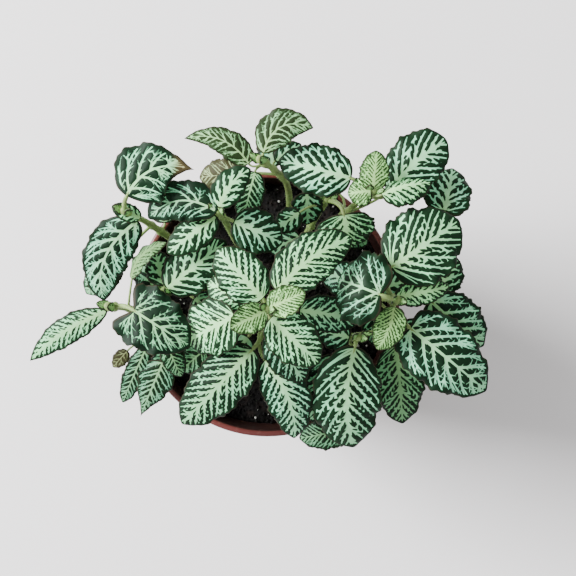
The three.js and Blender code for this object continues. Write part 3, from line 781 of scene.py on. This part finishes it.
def branches_between(lines, first, second, level, look, size, draw):
    """The finer veins between two neighbours: each gap is halved until their ends lie close."""
    if second.place - first.place < 1.5 * look.finger_gap * (0.5 + 0.5 * size):
        return []
    middle = branch_between(lines, first, second, level, look, size, draw)
    return [*branches_between(lines, first, middle, level + 1, look, size, draw), middle,
            *branches_between(lines, middle, second, level + 1, look, size, draw)]


def twig_marks(blade, turn, vein, look, size, draw):
    """Short free twigs along a vein, by turns on its two sides."""
    marks = []
    side = draw.choice((-1, 1))
    for start in np.arange(vein.runs[0] + TWIG_START, 0.8 * vein.runs[-1], look.twig_gap):
        foot, heading = start_on(blade, turn, vein, start + draw.uniform(-0.4, 0.4), 0.5)
        heading += side * math.radians(draw.uniform(*TWIG_ANGLES))
        reach = size * look.twig * draw.uniform(0.6, 1.3)
        tip = foot + reach * np.array([math.cos(heading), math.sin(heading)])
        marks.append((np.array([foot, tip]), size * look.finger * np.array([1.2, 0.45])))
        side = -side
    return marks


def pale_veins(blade, look, sides, lines, draw):
    """A veined leaf's pale marks: midrib, side veins, their branches and twigs."""
    size = size_of(blade, 0.45, 26)
    marks = [midrib_mark(blade, look, size)]
    s = np.linspace(0, 1, 6)
    for turn, ends in sides.items():
        veins = [side_vein(each, look, size, draw) for each in ends]
        branches = []
        for first, second in zip(veins, veins[1:]):
            branches += branches_between(lines, first, second, 0, look, size, draw)
        for vein in veins + branches:
            marks.append(stroke(blade, turn, vein.feet, vein.runs, vein.girths))
            if vein.runs[-1] - vein.runs[0] > TWIGGED_VEIN:
                marks += twig_marks(blade, turn, vein, look, size, draw)
        for end in spread(lines, 1.15 * look.finger_gap, draw):
            if not veins[0].place - 1 < end.place < veins[-1].place + 1:
                girths = size * look.finger * (1 - 0.4 * s)
                marks.append(stroke(blade, turn, end.foot, end.run * s, girths))
    return marks


def slits_along(blade, turn, vein, gap, look, size, draw):
    """The dark slits that fan out from a side vein, by turns on its two sides, and widen outwards."""
    slits = []
    side = draw.choice((-1, 1))
    run = size * look.rib + draw.uniform(0.3, 1.0)
    while run < vein.runs[-1]:
        foot, heading = start_on(blade, 1, vein, run, 0.4)
        turns = side * math.radians(SLIT_ANGLE * draw.uniform(0.65, 1.35)) * (1 - SLIT_CURL * SLIT_SHARES)
        clear = np.interp(run, vein.runs, vein.girths) + 0.15
        reach = max(0.9, (gap / 2 - clear) / math.sin(abs(turns[2]))) * draw.uniform(*SLIT_REACHES)
        steps = reach * np.diff(SLIT_SHARES, prepend=0)[:, None]
        headings = heading + turns
        line = np.cumsum(steps * np.column_stack([np.cos(headings), np.sin(headings)]), axis=0)
        line = foot + clear * side * np.array([-math.sin(heading), math.cos(heading)]) + line
        width = size * look.slit * (0.85 + 0.4 * run / vein.runs[-1]) * draw.uniform(0.75, 1.25)
        slits.append((line * (1, turn), width * SLIT_GIRTHS))
        run += look.slit_gap / 2 * (0.6 + 0.4 * size) * draw.uniform(0.65, 1.35)
        side = -side
    return slits


def dark_slits(blade, look, sides, gap, draw):
    """A feathered leaf's marks: its dark slits and margin notches, and the pale veins over them."""
    size = size_of(blade, 0.5, 22)
    veins = [midrib_mark(blade, look, size)]
    slits = []
    margin = margin_lines(blade, 0)
    s = np.linspace(0, 1, len(NOTCH_GIRTHS))
    for turn, ends in sides.items():
        for end in ends:
            vein = side_vein(end, look, size, draw)
            veins.append(stroke(blade, turn, vein.feet, vein.runs, vein.girths))
            slits += slits_along(blade, turn, vein, gap, look, size, draw)
        for first, second in zip(ends, ends[1:]):
            runs = size * look.rib + draw.uniform(0.2, 0.6) + min(4 * size, first.run / 2) * s
            foot = (first.foot + second.foot) / 2
            slits.append(stroke(blade, turn, foot, runs, size * look.slit * AXIL_GIRTHS))
        for end in spread(margin, look.notch_gap, draw):
            depth = look.notch * size * draw.uniform(0.5, 1.3)
            slits.append(stroke(blade, turn, end.foot, end.run - depth * s, look.slit * NOTCH_GIRTHS))
    return slits, veins


def depth_in(marks, places, step, deepest):
    """How far each flat place lies inside the marks (mm), below zero outside them and never below
    -deepest: read from a map over the blade with this step."""
    low = places.min(0) - 1
    size = ((places.max(0) + 1 - low) / step).astype(int) + 2
    depth = np.full(size, -deepest, np.float32)
    for track, girths in marks:
        for a, b, ra, rb in zip(track, track[1:], girths, girths[1:]):
            reach = max(ra, rb) + deepest
            first = np.maximum(((np.minimum(a, b) - reach - low) / step).astype(int), 0)
            last = np.maximum(((np.maximum(a, b) + reach - low) / step).astype(int) + 1, 0)
            patch = depth[first[0]:last[0], first[1]:last[1]]
            x = low[0] - a[0] + step * (first[0] + np.arange(patch.shape[0]))[:, None]
            y = low[1] - a[1] + step * (first[1] + np.arange(patch.shape[1]))
            along = b - a
            share = np.clip((x * along[0] + y * along[1]) / max(along @ along, 1e-9), 0, 1)
            away = np.hypot(x - share * along[0], y - share * along[1])
            np.maximum(patch, ra + (rb - ra) * share - away, out=patch)
    at = (places - low) / step
    i, j = at.astype(int).T
    u, v = (at % 1).T
    near = depth[i, j] * (1 - u) + depth[i + 1, j] * u
    far = depth[i, j + 1] * (1 - u) + depth[i + 1, j + 1] * u
    return near * (1 - v) + far * v


def leaf_markings(blade, t, v, draw):
    """Each point's marks, in millimetres: vein is above zero in a pale vein, edge is the distance
    from the margin, rib is 1 on the midrib and dry is 1 where the leaf has dried. puff is how far
    the blade bulges between its side veins."""
    look = LOOKS[blade.look]
    half = half_width(blade, t)
    slope = (half_width(blade, t + 0.01) - half_width(blade, t - 0.01)) / 0.02 / blade_length(blade)
    edge = half * (1 - np.abs(v)) / np.sqrt(1 + slope ** 2)
    places = flat_place(blade, t, v)
    lines = margin_lines(blade, look.band)
    gap = look.gap * size_of(blade, 0.7, 26)
    sides = {turn: spread(lines, gap, draw) for turn in (-1, 1)}
    if look.kind == "pale veins":
        vein = depth_in(pale_veins(blade, look, sides, lines, draw), places, MARK_STEP, MARK_DEPTH)
    else:
        slits, veins = dark_slits(blade, look, sides, gap, draw)
        vein = np.maximum(-depth_in(slits, places, MARK_STEP, MARK_DEPTH),
                          depth_in(veins, places, MARK_STEP, MARK_DEPTH))
    grooves = [stroke(blade, turn, each.foot, [0, each.run], 0) for turn in sides for each in sides[turn]]
    grooves.append((np.array([(0, 0), (blade_length(blade), 0)]), (0, 0)))
    main_gap = -depth_in(grooves, places, RELIEF_STEP, RELIEF_DEPTH)
    puff = 1 - np.exp(-((main_gap / PUFF_WIDTH) ** 2))
    rib = np.exp(-((half * v / (0.16 * blade.width)) ** 2)) * (1 - 0.7 * t)
    dry = look.dry * np.clip((t - look.dry_from) / 0.12 + (0 if look.dry_from else 1), 0, 1)
    return {"vein": np.minimum(vein, edge - look.band), "edge": edge, "rib": rib, "dry": dry}, puff


def blade_mesh(blade, draw, spacing):
    """A closed blade: its points, its faces, their material slots and its points' marks."""
    spacing = spacing * LOOKS[blade.look].mesh
    rows = max(8, math.ceil(ROWS_PER_SPACING * blade_length(blade) / spacing))
    columns = 2 * max(4, math.ceil(COLUMNS_PER_SPACING * blade.width / spacing / 2))
    even = np.arange(1, rows) / rows
    line = EVEN_ROWS * even + (1 - EVEN_ROWS) * (1 - np.cos(math.pi * even)) / 2
    t, v = np.meshgrid(line, np.linspace(-1, 1, columns + 1), indexing="ij")
    t, v = t.ravel(), v.ravel()
    marks, puff = leaf_markings(blade, t, v, draw)
    thin = 1 - np.abs(v) ** 6
    fade = np.clip(marks["edge"] / 2, 0, 1)
    cells = CELL_RISE * np.clip(-marks["vein"] / 0.5, 0, 1)
    relief = (PUFF_HEIGHT * puff + cells) * fade * min(1, blade.width / 20)
    upper = blade_surface(blade, t, v, BLADE_THICKNESS / 2 * thin + relief - 0.3 * fade * PUFF_HEIGHT)
    lower_v = np.linspace(-1, 1, UNDER_COLUMNS + 1)[1:-1]
    ut, uv = np.meshgrid(line, lower_v, indexing="ij")
    ut, uv = ut.ravel(), uv.ravel()
    lower = blade_surface(blade, ut, uv, -BLADE_THICKNESS / 2 * (1 - np.abs(uv) ** 6))
    ends = blade_surface(blade, np.array([0.0, 1.0]), np.zeros(2), np.zeros(2))
    points = np.concatenate([upper, lower, ends])

    base, tip = len(points) - 2, len(points) - 1
    last = rows - 2

    def top(r, c):
        return r * (columns + 1) + c

    def under(r, c):
        if c in (0, UNDER_COLUMNS):
            return top(r, 0 if c == 0 else columns)
        return len(upper) + r * (UNDER_COLUMNS - 1) + c - 1

    faces = [(top(r, c), top(r, c + 1), top(r + 1, c + 1), top(r + 1, c))
             for r in range(last) for c in range(columns)]
    faces += [(base, top(0, c + 1), top(0, c)) for c in range(columns)]
    faces += [(tip, top(last, c), top(last, c + 1)) for c in range(columns)]
    kinds = [LEAF_FACE] * len(faces)
    faces += [(under(r, c), under(r + 1, c), under(r + 1, c + 1), under(r, c + 1))
              for r in range(last) for c in range(UNDER_COLUMNS)]
    faces += [(base, under(0, c), under(0, c + 1)) for c in range(UNDER_COLUMNS)]
    faces += [(tip, under(last, c + 1), under(last, c)) for c in range(UNDER_COLUMNS)]
    kinds += [LEAF_UNDERSIDE] * (len(faces) - len(kinds))
    marks = {key: np.append(values, np.full(len(lower) + 2, BARE[key])) for key, values in marks.items()}
    marks["edge"][-2:] = 0
    return points, faces, kinds, marks


def angles_round(count):
    """Evenly spaced angles all the way round."""
    return 2 * math.pi * np.arange(count) / count


def ring_faces(rings, segments, first=0):
    """The faces between rings of points, whose numbers start at first."""
    faces = []
    for row in range(rings - 1):
        for k in range(segments):
            a = first + row * segments + k
            b = first + row * segments + (k + 1) % segments
            faces.append((a, b, b + segments, a + segments))
    return faces


def ring_mesh(rings, first, last=None):
    """A mesh over rings of points, with a centre point before them and, if given, one after them."""
    segments = len(rings[0])
    points = np.vstack([[first], *rings])
    pairs = [(k, (k + 1) % segments) for k in range(segments)]
    faces = [(0, 1 + after, 1 + k) for k, after in pairs] + ring_faces(len(rings), segments, 1)
    if last is not None:
        end = len(points) - segments
        faces += [(len(points), end + k, end + after) for k, after in pairs]
        points = np.vstack([points, [last]])
    return points, faces


def turned_over(faces):
    """The same faces, facing the other way."""
    return [(face[0], *face[:0:-1]) for face in faces]


def joined(parts):
    """Several parts' points and faces as one mesh's."""
    starts = np.cumsum([0] + [len(points) for points, _ in parts]).tolist()
    faces = [tuple(i + start for i in face) for start, (_, faces) in zip(starts, parts) for face in faces]
    return np.concatenate([points for points, _ in parts]), faces


def tube_mesh(points, radii, sides):
    """A closed tube through the points, with its own radius at each."""
    points = np.asarray(points, float)
    along = unit(np.gradient(points, axis=0))
    across = np.array([1.0, 0.0, 0.0])
    angles = angles_round(sides)
    rings = []
    for point, direction, radius in zip(points, along, radii):
        across = unit(across - direction * (across @ direction))
        other = np.cross(direction, across)
        rings.append(point + radius * (np.outer(np.cos(angles), across) + np.outer(np.sin(angles), other)))
    last = (len(points) - 1) * sides
    ends = [tuple(range(sides - 1, -1, -1)), tuple(range(last, last + sides))]
    return np.concatenate(rings), ring_faces(len(points), sides) + ends


def stem_point(stem, share):
    """A point on the stem's smooth line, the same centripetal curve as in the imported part."""
    points = np.array(stem, float)
    points = np.vstack([2 * points[0] - points[1], points, 2 * points[-1] - points[-2]])
    place = share * (len(stem) - 1)
    i = min(int(place), len(stem) - 2)
    s = place - i
    p0, p1, p2, p3 = points[i:i + 4]
    d0, d1, d2 = (math.sqrt(np.linalg.norm(b - a)) for a, b in ((p0, p1), (p1, p2), (p2, p3)))
    t1 = ((p1 - p0) / d0 - (p2 - p0) / (d0 + d1) + (p2 - p1) / d1) * d1
    t2 = ((p2 - p1) / d1 - (p3 - p1) / (d1 + d2) + (p3 - p2) / d2) * d1
    return (p1 + t1 * s + (3 * (p2 - p1) - 2 * t1 - t2) * s ** 2
            + (2 * (p1 - p2) + t1 + t2) * s ** 3)


def stem_mesh(stem, leaves):
    """The stem from its planting hole to its bud, swollen at each node where a stalk leaves it."""
    shares = np.linspace(0, 1, STEM_STEPS)
    line = np.array([stem_point(stem, s) for s in shares])
    radii = STEM_RADIUS + (STEM_TIP_RADIUS - STEM_RADIUS) * shares
    for blade in leaves:
        radii = radii * (1 + NODE_SWELLING * np.exp(-(((shares - blade.height) / NODE_SHARE) ** 2)))
    radii = np.minimum(radii, THICKEST_NODE * STEM_RADIUS)
    root = line[0] * (1, 1, 0) + (0, 0, SOIL_TOP - PLANTING_DEPTH)
    bud = line[-1] + np.outer(BUD_SHARES * BUD_LENGTH, unit(line[-1] - line[-2]))
    radii = np.concatenate([[STEM_RADIUS], radii, BUD_RADIUS * BUD_GIRTHS])
    return tube_mesh(np.vstack([root, line, bud]), radii, STEM_SIDES)


def stalk_mesh(blade, start):
    """A leaf's stalk, which goes on under the blade as its midrib."""
    radius = min(max(blade.width / 24, 0.5), 1)
    point, along, normal, _ = midrib(blade, 0.0)
    blade_start = point - normal * BLADE_THICKNESS / 2
    control = blade_start - along * 0.45 * np.linalg.norm(blade_start - start)
    s = np.linspace(0, 1, STALK_STEPS)[:, None]
    curve = (1 - s) ** 2 * start + 2 * s * (1 - s) * control + s ** 2 * blade_start
    rib, _, rib_normal, _ = midrib(blade, RIB_SHARES)
    radii = radius * np.concatenate([np.linspace(1.15, 0.9, STALK_STEPS), RIB_GIRTHS])
    return tube_mesh(np.vstack([curve, rib - rib_normal * RIB_DEPTH]), radii, STALK_SIDES)


def bud_leaves(stem):
    """Two small unfolding leaves that clasp the bud."""
    end = stem_point(stem, 1)
    heading = unit(end - stem_point(stem, 0.97))
    across = unit(np.cross(heading, (0.3, 1, 0)))
    return [leaf(1, end + side * across, end + side * 3.4 * across + 6.5 * heading, 4.4, "bud", bow=0.14)
            for side in (-1, 1)]


def stem_skin():
    """All stems and stalks above the soil as one open surface, for strewing hairs."""
    parts = []
    for stem, leaves in SHOOTS.values():
        tubes = [stem_mesh(stem, leaves)]
        tubes += [stalk_mesh(blade, stem_point(stem, blade.height)) for blade in leaves]
        for points, faces in tubes:
            low = points[:, 2] < SOIL_TOP - 1
            parts.append((points, [face for face in faces if not low[list(face)].any()]))
    return new_piece("stem_skin", *joined(parts), [])


def make_shoot(name, stem, leaves, materials, spacing):
    """One leafy stem as one piece."""
    draw = np.random.default_rng(SEED + sum(map(ord, name)))
    parts = [(*stem_mesh(stem, leaves), STEM, BARE)]
    for blade in [*leaves, *bud_leaves(stem)]:
        parts.append((*stalk_mesh(blade, stem_point(stem, blade.height)), STEM, BARE))
        points, faces, kinds, marks = blade_mesh(blade, draw, spacing)
        look = LOOKS[blade.look]
        marks["youth"] = np.clip(look.youth + draw.uniform(-0.05, 0.08), 0, 1)
        # Lower leaves are darker: partly older leaves, partly painted shade under the canopy
        age_and_shade = np.interp(blade.base[2], AGE_AND_SHADE_HEIGHTS, (LOW_LEAF_LIGHT, 1))
        marks["shade"] = look.light * blade.tone * age_and_shade * draw.uniform(0.94, 1.06)
        marks["warmth"] = np.clip(look.warm + draw.uniform(-0.25, 0.25), 0, 1)
        parts.append((points, faces, kinds, marks))
    kinds = np.concatenate([np.broadcast_to(kinds, len(faces)) for _, faces, kinds, _ in parts])
    marks = {}
    for key in BARE:
        marks[key] = np.concatenate([np.broadcast_to(own[key], len(points)) for points, _, _, own in parts])
    return new_piece(name + "_leaves", *joined([part[:2] for part in parts]), materials, kinds, marks)


def pot_wall_radius(z):
    """The pot wall's outer radius at a height."""
    top_radius = RIM_RADIUS - RIM_THICKNESS + WALL - EDGE_ROUNDING
    return FOOT_RADIUS + (top_radius - FOOT_RADIUS) * z / BAND_BOTTOM


def rounded(profile, radius):
    """The profile with a small arc at each inner corner."""
    line = [profile[0]]
    for before, corner, after in zip(profile, profile[1:], profile[2:]):
        before, corner, after = (np.array(p, float) for p in (before, corner, after))
        reach = min(radius, np.linalg.norm(before - corner) / 2.2, np.linalg.norm(after - corner) / 2.2)
        a = corner + unit(before - corner) * reach
        b = corner + unit(after - corner) * reach
        line += [tuple((1 - s) ** 2 * a + 2 * s * (1 - s) * corner + s * s * b) for s in (0, 0.33, 0.67, 1)]
    return line + [profile[-1]]


def ring(radius, heights, segments):
    """A ring of points round the pot's axis, at one height or at each point's own."""
    angles = angles_round(segments)
    heights = np.broadcast_to(heights, segments)
    return np.column_stack([radius * np.cos(angles), radius * np.sin(angles), heights])


def make_pot(material):
    """The pot: tapered wall, thick rim band, ring foot, and a floor with drain holes."""
    profile = [
        (0, 0),
        (FOOT_BOSS_RADIUS, 0),
        (FOOT_BOSS_RADIUS + FOOT_DRAFT, FOOT_RECESS),
        (FOOT_RADIUS - FOOT_RING_WIDTH - FOOT_DRAFT, FOOT_RECESS),
        (FOOT_RADIUS - FOOT_RING_WIDTH, 0),
        (FOOT_RADIUS, 0),
        (pot_wall_radius(BAND_BOTTOM), BAND_BOTTOM),
        (RIM_RADIUS, BAND_BOTTOM),
        (RIM_RADIUS, POT_HEIGHT),
        (RIM_RADIUS - RIM_THICKNESS, POT_HEIGHT),
        (pot_wall_radius(BAND_BOTTOM) - WALL, BAND_BOTTOM),
        (pot_wall_radius(FLOOR_TOP) - WALL, FLOOR_TOP),
        (0, FLOOR_TOP),
    ]
    (_, bottom), *outline, (_, top) = rounded(profile, 1.5 * EDGE_ROUNDING)
    rings = [ring(radius, height, POT_SEGMENTS) for radius, height in outline]
    pot = new_piece("nursery_pot", *ring_mesh(rings, (0, 0, bottom), (0, 0, top)), [material])
    drill_drain_holes(pot)
    mark_inner_side(pot)
    return pot


def mark_inner_side(pot):
    """Marks the pot's inner side, where shade is painted nearly black, on its points."""
    places = np.empty(3 * len(pot.data.vertices), np.float32)
    pot.data.vertices.foreach_get("co", places)
    x, y, z = places.reshape(-1, 3).T / MM
    limit = np.where(z > BAND_BOTTOM, RIM_RADIUS - 0.9 * RIM_THICKNESS, pot_wall_radius(z) - WALL / 2)
    inside = (np.hypot(x, y) < limit) & (z > FOOT_RECESS + WALL / 2)
    # The mark of the painted shade on the pot's inner side
    layer = pot.data.attributes.new("painted_inner_shade", "FLOAT", "POINT")
    layer.data.foreach_set("value", inside.astype(np.float32))


def drill_drain_holes(pot):
    """Cuts the drain holes through the pot's floor."""
    bm = bmesh.new()
    for i in range(DRAIN_HOLES):
        angle = 2 * math.pi * (i + 0.5) / DRAIN_HOLES
        made = bmesh.ops.create_cone(bm, cap_ends=True, segments=DRAIN_HOLE_SEGMENTS,
                                     radius1=DRAIN_HOLE_RADIUS * MM, radius2=DRAIN_HOLE_RADIUS * MM,
                                     depth=4 * WALL * MM)
        place = (DRAIN_CIRCLE_RADIUS * math.cos(angle) * MM, DRAIN_CIRCLE_RADIUS * math.sin(angle) * MM,
                 FOOT_RECESS * MM)
        bmesh.ops.translate(bm, verts=made["verts"], vec=place)
    mesh = bpy.data.meshes.new("drill")
    bm.to_mesh(mesh)
    bm.free()
    drill = bpy.data.objects.new("drill", mesh)
    bpy.context.collection.objects.link(drill)
    cut = pot.modifiers.new("drain holes", "BOOLEAN")
    cut.operation = "DIFFERENCE"
    cut.solver = "EXACT"
    cut.object = drill
    keep_result(pot)
    bpy.data.objects.remove(drill)


def keep_result(piece):
    """Makes a piece's evaluated mesh its own mesh, and takes its modifiers off."""
    bpy.context.view_layer.update()
    evaluated = piece.evaluated_get(bpy.context.evaluated_depsgraph_get())
    mesh = bpy.data.meshes.new_from_object(evaluated)
    piece.modifiers.clear()
    piece.data = mesh


def soil_height(x, y):
    """The soil's surface: low crumbs and hollows, a little lower at the wall."""
    broad = 1.1 * np.sin(0.16 * x + 1.3) * np.cos(0.14 * y - 0.4)
    fine = 0.6 * np.sin(0.55 * x + 0.41 * y)
    edge = 1.5 * (np.hypot(x, y) / RIM_RADIUS) ** 4
    return SOIL_TOP + broad + fine - edge


def make_soil(material):
    """The soil's body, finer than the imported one, with a crumbled top."""
    draw = np.random.default_rng(SEED)
    edge_height = SOIL_TOP - SOIL_EDGE_DROP
    edge_radius = pot_wall_radius(edge_height) - WALL - 0.05
    rings = []
    for radius in np.linspace(0.8, edge_radius, SOIL_RINGS):
        x, y, _ = ring(radius, 0, SOIL_SEGMENTS).T
        rough = draw.uniform(-SOIL_ROUGHNESS, SOIL_ROUGHNESS, SOIL_SEGMENTS) * (radius < edge_radius - 1)
        fall = np.clip((radius - SOIL_FALL_RADIUS) / (edge_radius - SOIL_FALL_RADIUS), 0, 1) ** 2
        rings.append(np.column_stack([x, y, (1 - fall) * soil_height(x, y) + fall * edge_height + rough]))
    floor = FLOOR_TOP + CLEARANCE
    rings.append(ring(pot_wall_radius(floor) - WALL - CLEARANCE, floor, SOIL_SEGMENTS))
    points, faces = ring_mesh(rings, (0, 0, soil_height(0, 0)), (0, 0, floor))
    return new_piece("peat_body", points, turned_over(faces), [material])


def soil_patch():
    """An open disc along the soil's surface, for strewing."""
    rings = []
    for radius in np.linspace(0, STREWN_RADIUS, STREWN_RINGS + 1)[1:]:
        x, y, _ = ring(radius, 0, STREWN_SEGMENTS).T
        rings.append(np.column_stack([x, y, soil_height(x, y)]))
    points, faces = ring_mesh(rings, (0, 0, soil_height(0, 0)))
    return new_piece("soil_patch", points, turned_over(faces), [])


def scatter_tree(name, shape, lumpy):
    """A node tree that strews crumbs or hairs over a surface at random sizes: crumbs turned at
    random and made lumpy by so many millimetres, hairs upright on the surface."""
    tree = bpy.data.node_groups.new(name, "GeometryNodeTree")
    for label, kind in (("Surface", "NodeSocketGeometry"), ("Density", "NodeSocketFloat"),
                        ("Size", "NodeSocketFloat"), ("Smallest", "NodeSocketFloat"),
                        ("Seed", "NodeSocketInt"), ("Material", "NodeSocketMaterial")):
        tree.interface.new_socket(label, in_out="INPUT", socket_type=kind)
    tree.interface.new_socket("Result", in_out="OUTPUT", socket_type="NodeSocketGeometry")
    given = add_node(tree, "NodeGroupInput").outputs
    strewn = add_node(tree, "GeometryNodeDistributePointsOnFaces",
                      {"Mesh": given["Surface"], "Density": given["Density"], "Seed": given["Seed"]})
    size = add_node(tree, "FunctionNodeRandomValue",
                    {2: given["Smallest"], 3: 1.0, "Seed": given["Seed"]}, data_type="FLOAT").outputs[1]
    scale = add_node(tree, "ShaderNodeMath", {0: size, 1: given["Size"]}, operation="MULTIPLY").outputs[0]
    if shape == "crumb":
        unit_shape = add_node(tree, "GeometryNodeMeshIcoSphere", {"Radius": 1.0, "Subdivisions": 1})
        turn = add_node(tree, "FunctionNodeRandomValue",
                        {0: (0, 0, 0), 1: (math.tau, math.tau, math.tau), "Seed": given["Seed"]},
                        data_type="FLOAT_VECTOR").outputs[0]
    else:
        unit_shape = add_node(tree, "GeometryNodeMeshCone",
                              {"Vertices": 3, "Radius Bottom": 0.05, "Radius Top": 0.0, "Depth": 1.0})
        turn = strewn.outputs["Rotation"]
    placed = add_node(tree, "GeometryNodeInstanceOnPoints",
                      {"Points": strewn.outputs["Points"], "Instance": unit_shape.outputs["Mesh"],
                       "Rotation": turn, "Scale": scale})
    result = add_node(tree, "GeometryNodeRealizeInstances", {"Geometry": placed.outputs[0]}).outputs[0]
    if lumpy:
        place = add_node(tree, "GeometryNodeInputPosition").outputs[0]
        cloud = add_node(tree, "ShaderNodeTexNoise", {"Vector": place, "Scale": cells_in(LUMP_WIDTH)})
        centred = add_node(tree, "ShaderNodeVectorMath",
                           {0: cloud.outputs["Color"], 1: (0.5, 0.5, 0.5)}, operation="SUBTRACT").outputs[0]
        push = add_node(tree, "ShaderNodeVectorMath", {0: centred, "Scale": lumpy * MM},
                        operation="SCALE").outputs[0]
        result = add_node(tree, "GeometryNodeSetPosition", {"Geometry": result, "Offset": push}).outputs[0]
    result = add_node(tree, "GeometryNodeSetMaterial",
                      {"Geometry": result, "Material": given["Material"]}).outputs[0]
    add_node(tree, "NodeGroupOutput", {0: result})
    return tree


def strew(name, surface, tree, values):
    """Runs a scatter tree over a copy of a surface and keeps the result as a plain mesh."""
    piece = bpy.data.objects.new(name, surface.data.copy())
    bpy.context.collection.objects.link(piece)
    strewing = piece.modifiers.new(name, "NODES")
    strewing.node_group = tree
    sockets = {item.name: item.identifier for item in tree.interface.items_tree}
    for label, value in values.items():
        strewing[sockets[label]] = value
    keep_result(piece)
    return piece


class NERVEPLANT_OT_pot(bpy.types.Operator):
    """Makes the moulded nursery pot"""
    bl_idname = "nerve_plant.pot"
    bl_label = "Nursery Pot"

    def execute(self, context):
        pot = make_pot(pot_material(settings("pot")))
        hand_over(pot, "pot_plastic", "pot")
        return {"FINISHED"}


class NERVEPLANT_OT_soil(bpy.types.Operator):
    """Makes the potting soil with its crumbs and white grains"""
    bl_idname = "nerve_plant.soil"
    bl_label = "Potting Soil"

    def execute(self, context):
        soil = settings("soil")
        peat = soil_material(soil)
        hand_over(make_soil(peat), "potting_soil", "soil")
        patch = soil_patch()
        tree = scatter_tree("strewn crumbs", "crumb", LUMP_HEIGHT)
        crumbs = strew("peat_crumbs", patch, tree,
                       {"Density": soil.crumbs * 10000.0, "Size": soil.crumb_radius, "Smallest": 0.3,
                        "Seed": SEED, "Material": peat})
        hand_over(crumbs, "potting_soil")
        grains = strew("perlite_grains", patch, tree,
                       {"Density": soil.grains * 100.0, "Size": soil.crumb_radius * 0.7, "Smallest": 0.3,
                        "Seed": SEED + 1, "Material": perlite_material()})
        hand_over(grains, "potting_soil")
        bpy.data.objects.remove(patch)
        return {"FINISHED"}


class NERVEPLANT_OT_shoots(bpy.types.Operator):
    """Makes the leafy stems with their veined leaves"""
    bl_idname = "nerve_plant.shoots"
    bl_label = "Leafy Stems"

    def execute(self, context):
        foliage = settings("foliage")
        materials = [leaf_material(foliage), underside_material(foliage), stem_material(foliage)]
        spacing = foliage.spacing / MM * 1
        for name, (stem, leaves) in SHOOTS.items():
            shoot = make_shoot(name, stem, leaves, materials, spacing)
            hand_over(shoot, "foliage", name)
        skin = stem_skin()
        hairs = strew("stem_hairs", skin, scatter_tree("strewn hairs", "hair", 0),
                      {"Density": foliage.hairs / MM ** 2, "Size": foliage.hair_length, "Smallest": 0.4,
                       "Seed": SEED, "Material": hair_material()})
        hand_over(hairs, "foliage")
        bpy.data.objects.remove(skin)
        return {"FINISHED"}


class NERVEPLANT_OT_stage(bpy.types.Operator):
    """Makes the pale floor, the soft light and the camera overhead"""
    bl_idname = "nerve_plant.stage"
    bl_label = "Floor, Light and Camera"

    def execute(self, context):
        stage = settings("stage")
        corners = FLOOR_REACH * np.array([(-1, -1, 0), (1, -1, 0), (1, 1, 0), (-1, 1, 0)])
        floor = new_piece("floor", corners, [(0, 1, 2, 3)], [floor_material(stage)])
        add_camera(context)
        add_window_light(context, stage)
        add_room_light(context, stage)
        return {"FINISHED"}


def add_camera(context):
    camera = bpy.data.objects.new("camera", bpy.data.cameras.new("camera"))
    camera.data.sensor_fit = "HORIZONTAL"
    camera.data.angle = math.radians(CAMERA_VIEW_DEGREES)
    camera.location = [c * MM for c in CAMERA_PLACE]
    context.collection.objects.link(camera)
    context.scene.camera = camera


def add_window_light(context, stage):
    """One broad soft light from the upper left of the picture, as a window gives."""
    light = bpy.data.lights.new("window", "AREA")
    light.shape = "RECTANGLE"
    light.size = WINDOW_SIZE
    light.size_y = WINDOW_SIZE
    light.energy = stage.window_power
    light.color = linear("#FBFCFF")
    window = bpy.data.objects.new("window", light)
    window.location = WINDOW_PLACE
    aim = -window.location
    window.rotation_euler = aim.to_track_quat("-Z", "Y").to_euler()
    context.collection.objects.link(window)


def add_room_light(context, stage):
    world = bpy.data.worlds.new("room")
    world.use_nodes = True
    world.node_tree.nodes.clear()
    back = add_node(world.node_tree, "ShaderNodeBackground",
                    {"Color": paint("#F3F3F6"), "Strength": stage.sky})
    add_node(world.node_tree, "ShaderNodeOutputWorld", {"Surface": back.outputs[0]})
    context.scene.world = world


class NERVEPLANT_PT_panel(bpy.types.Panel):
    """Lists the plant's pieces and their settings"""
    bl_idname = "NERVEPLANT_PT_panel"
    bl_label = "Potted Nerve Plant"
    bl_space_type = "VIEW_3D"
    bl_region_type = "UI"
    bl_category = "Nerve Plant"

    def draw(self, context):
        for name, operator in (("stage", "stage"), ("pot", "pot"), ("soil", "soil"), ("foliage", "shoots")):
            box = self.layout.box()
            box.operator(f"nerve_plant.{operator}")
            group = settings(name)
            for key in group.bl_rna.properties.keys():
                if key not in ("rna_type", "name"):
                    box.prop(group, key)


GROUPS = {
    "pot": PotSettings,
    "soil": SoilSettings,
    "foliage": FoliageSettings,
    "stage": StageSettings,
}
CLASSES = (
    *GROUPS.values(),
    NERVEPLANT_OT_pot,
    NERVEPLANT_OT_soil,
    NERVEPLANT_OT_shoots,
    NERVEPLANT_OT_stage,
    NERVEPLANT_PT_panel,
)


def register():
    for each in CLASSES:
        bpy.utils.register_class(each)
    for name, group in GROUPS.items():
        setattr(bpy.types.Scene, f"nerve_plant_{name}", PointerProperty(type=group))


def unregister():
    for name in GROUPS:
        delattr(bpy.types.Scene, f"nerve_plant_{name}")
    for each in reversed(CLASSES):
        bpy.utils.unregister_class(each)


def main():
    register()
    bpy.ops.nerve_plant.stage()
    bpy.ops.nerve_plant.pot()
    bpy.ops.nerve_plant.soil()
    bpy.ops.nerve_plant.shoots()


if __name__ == "__main__":
    main()
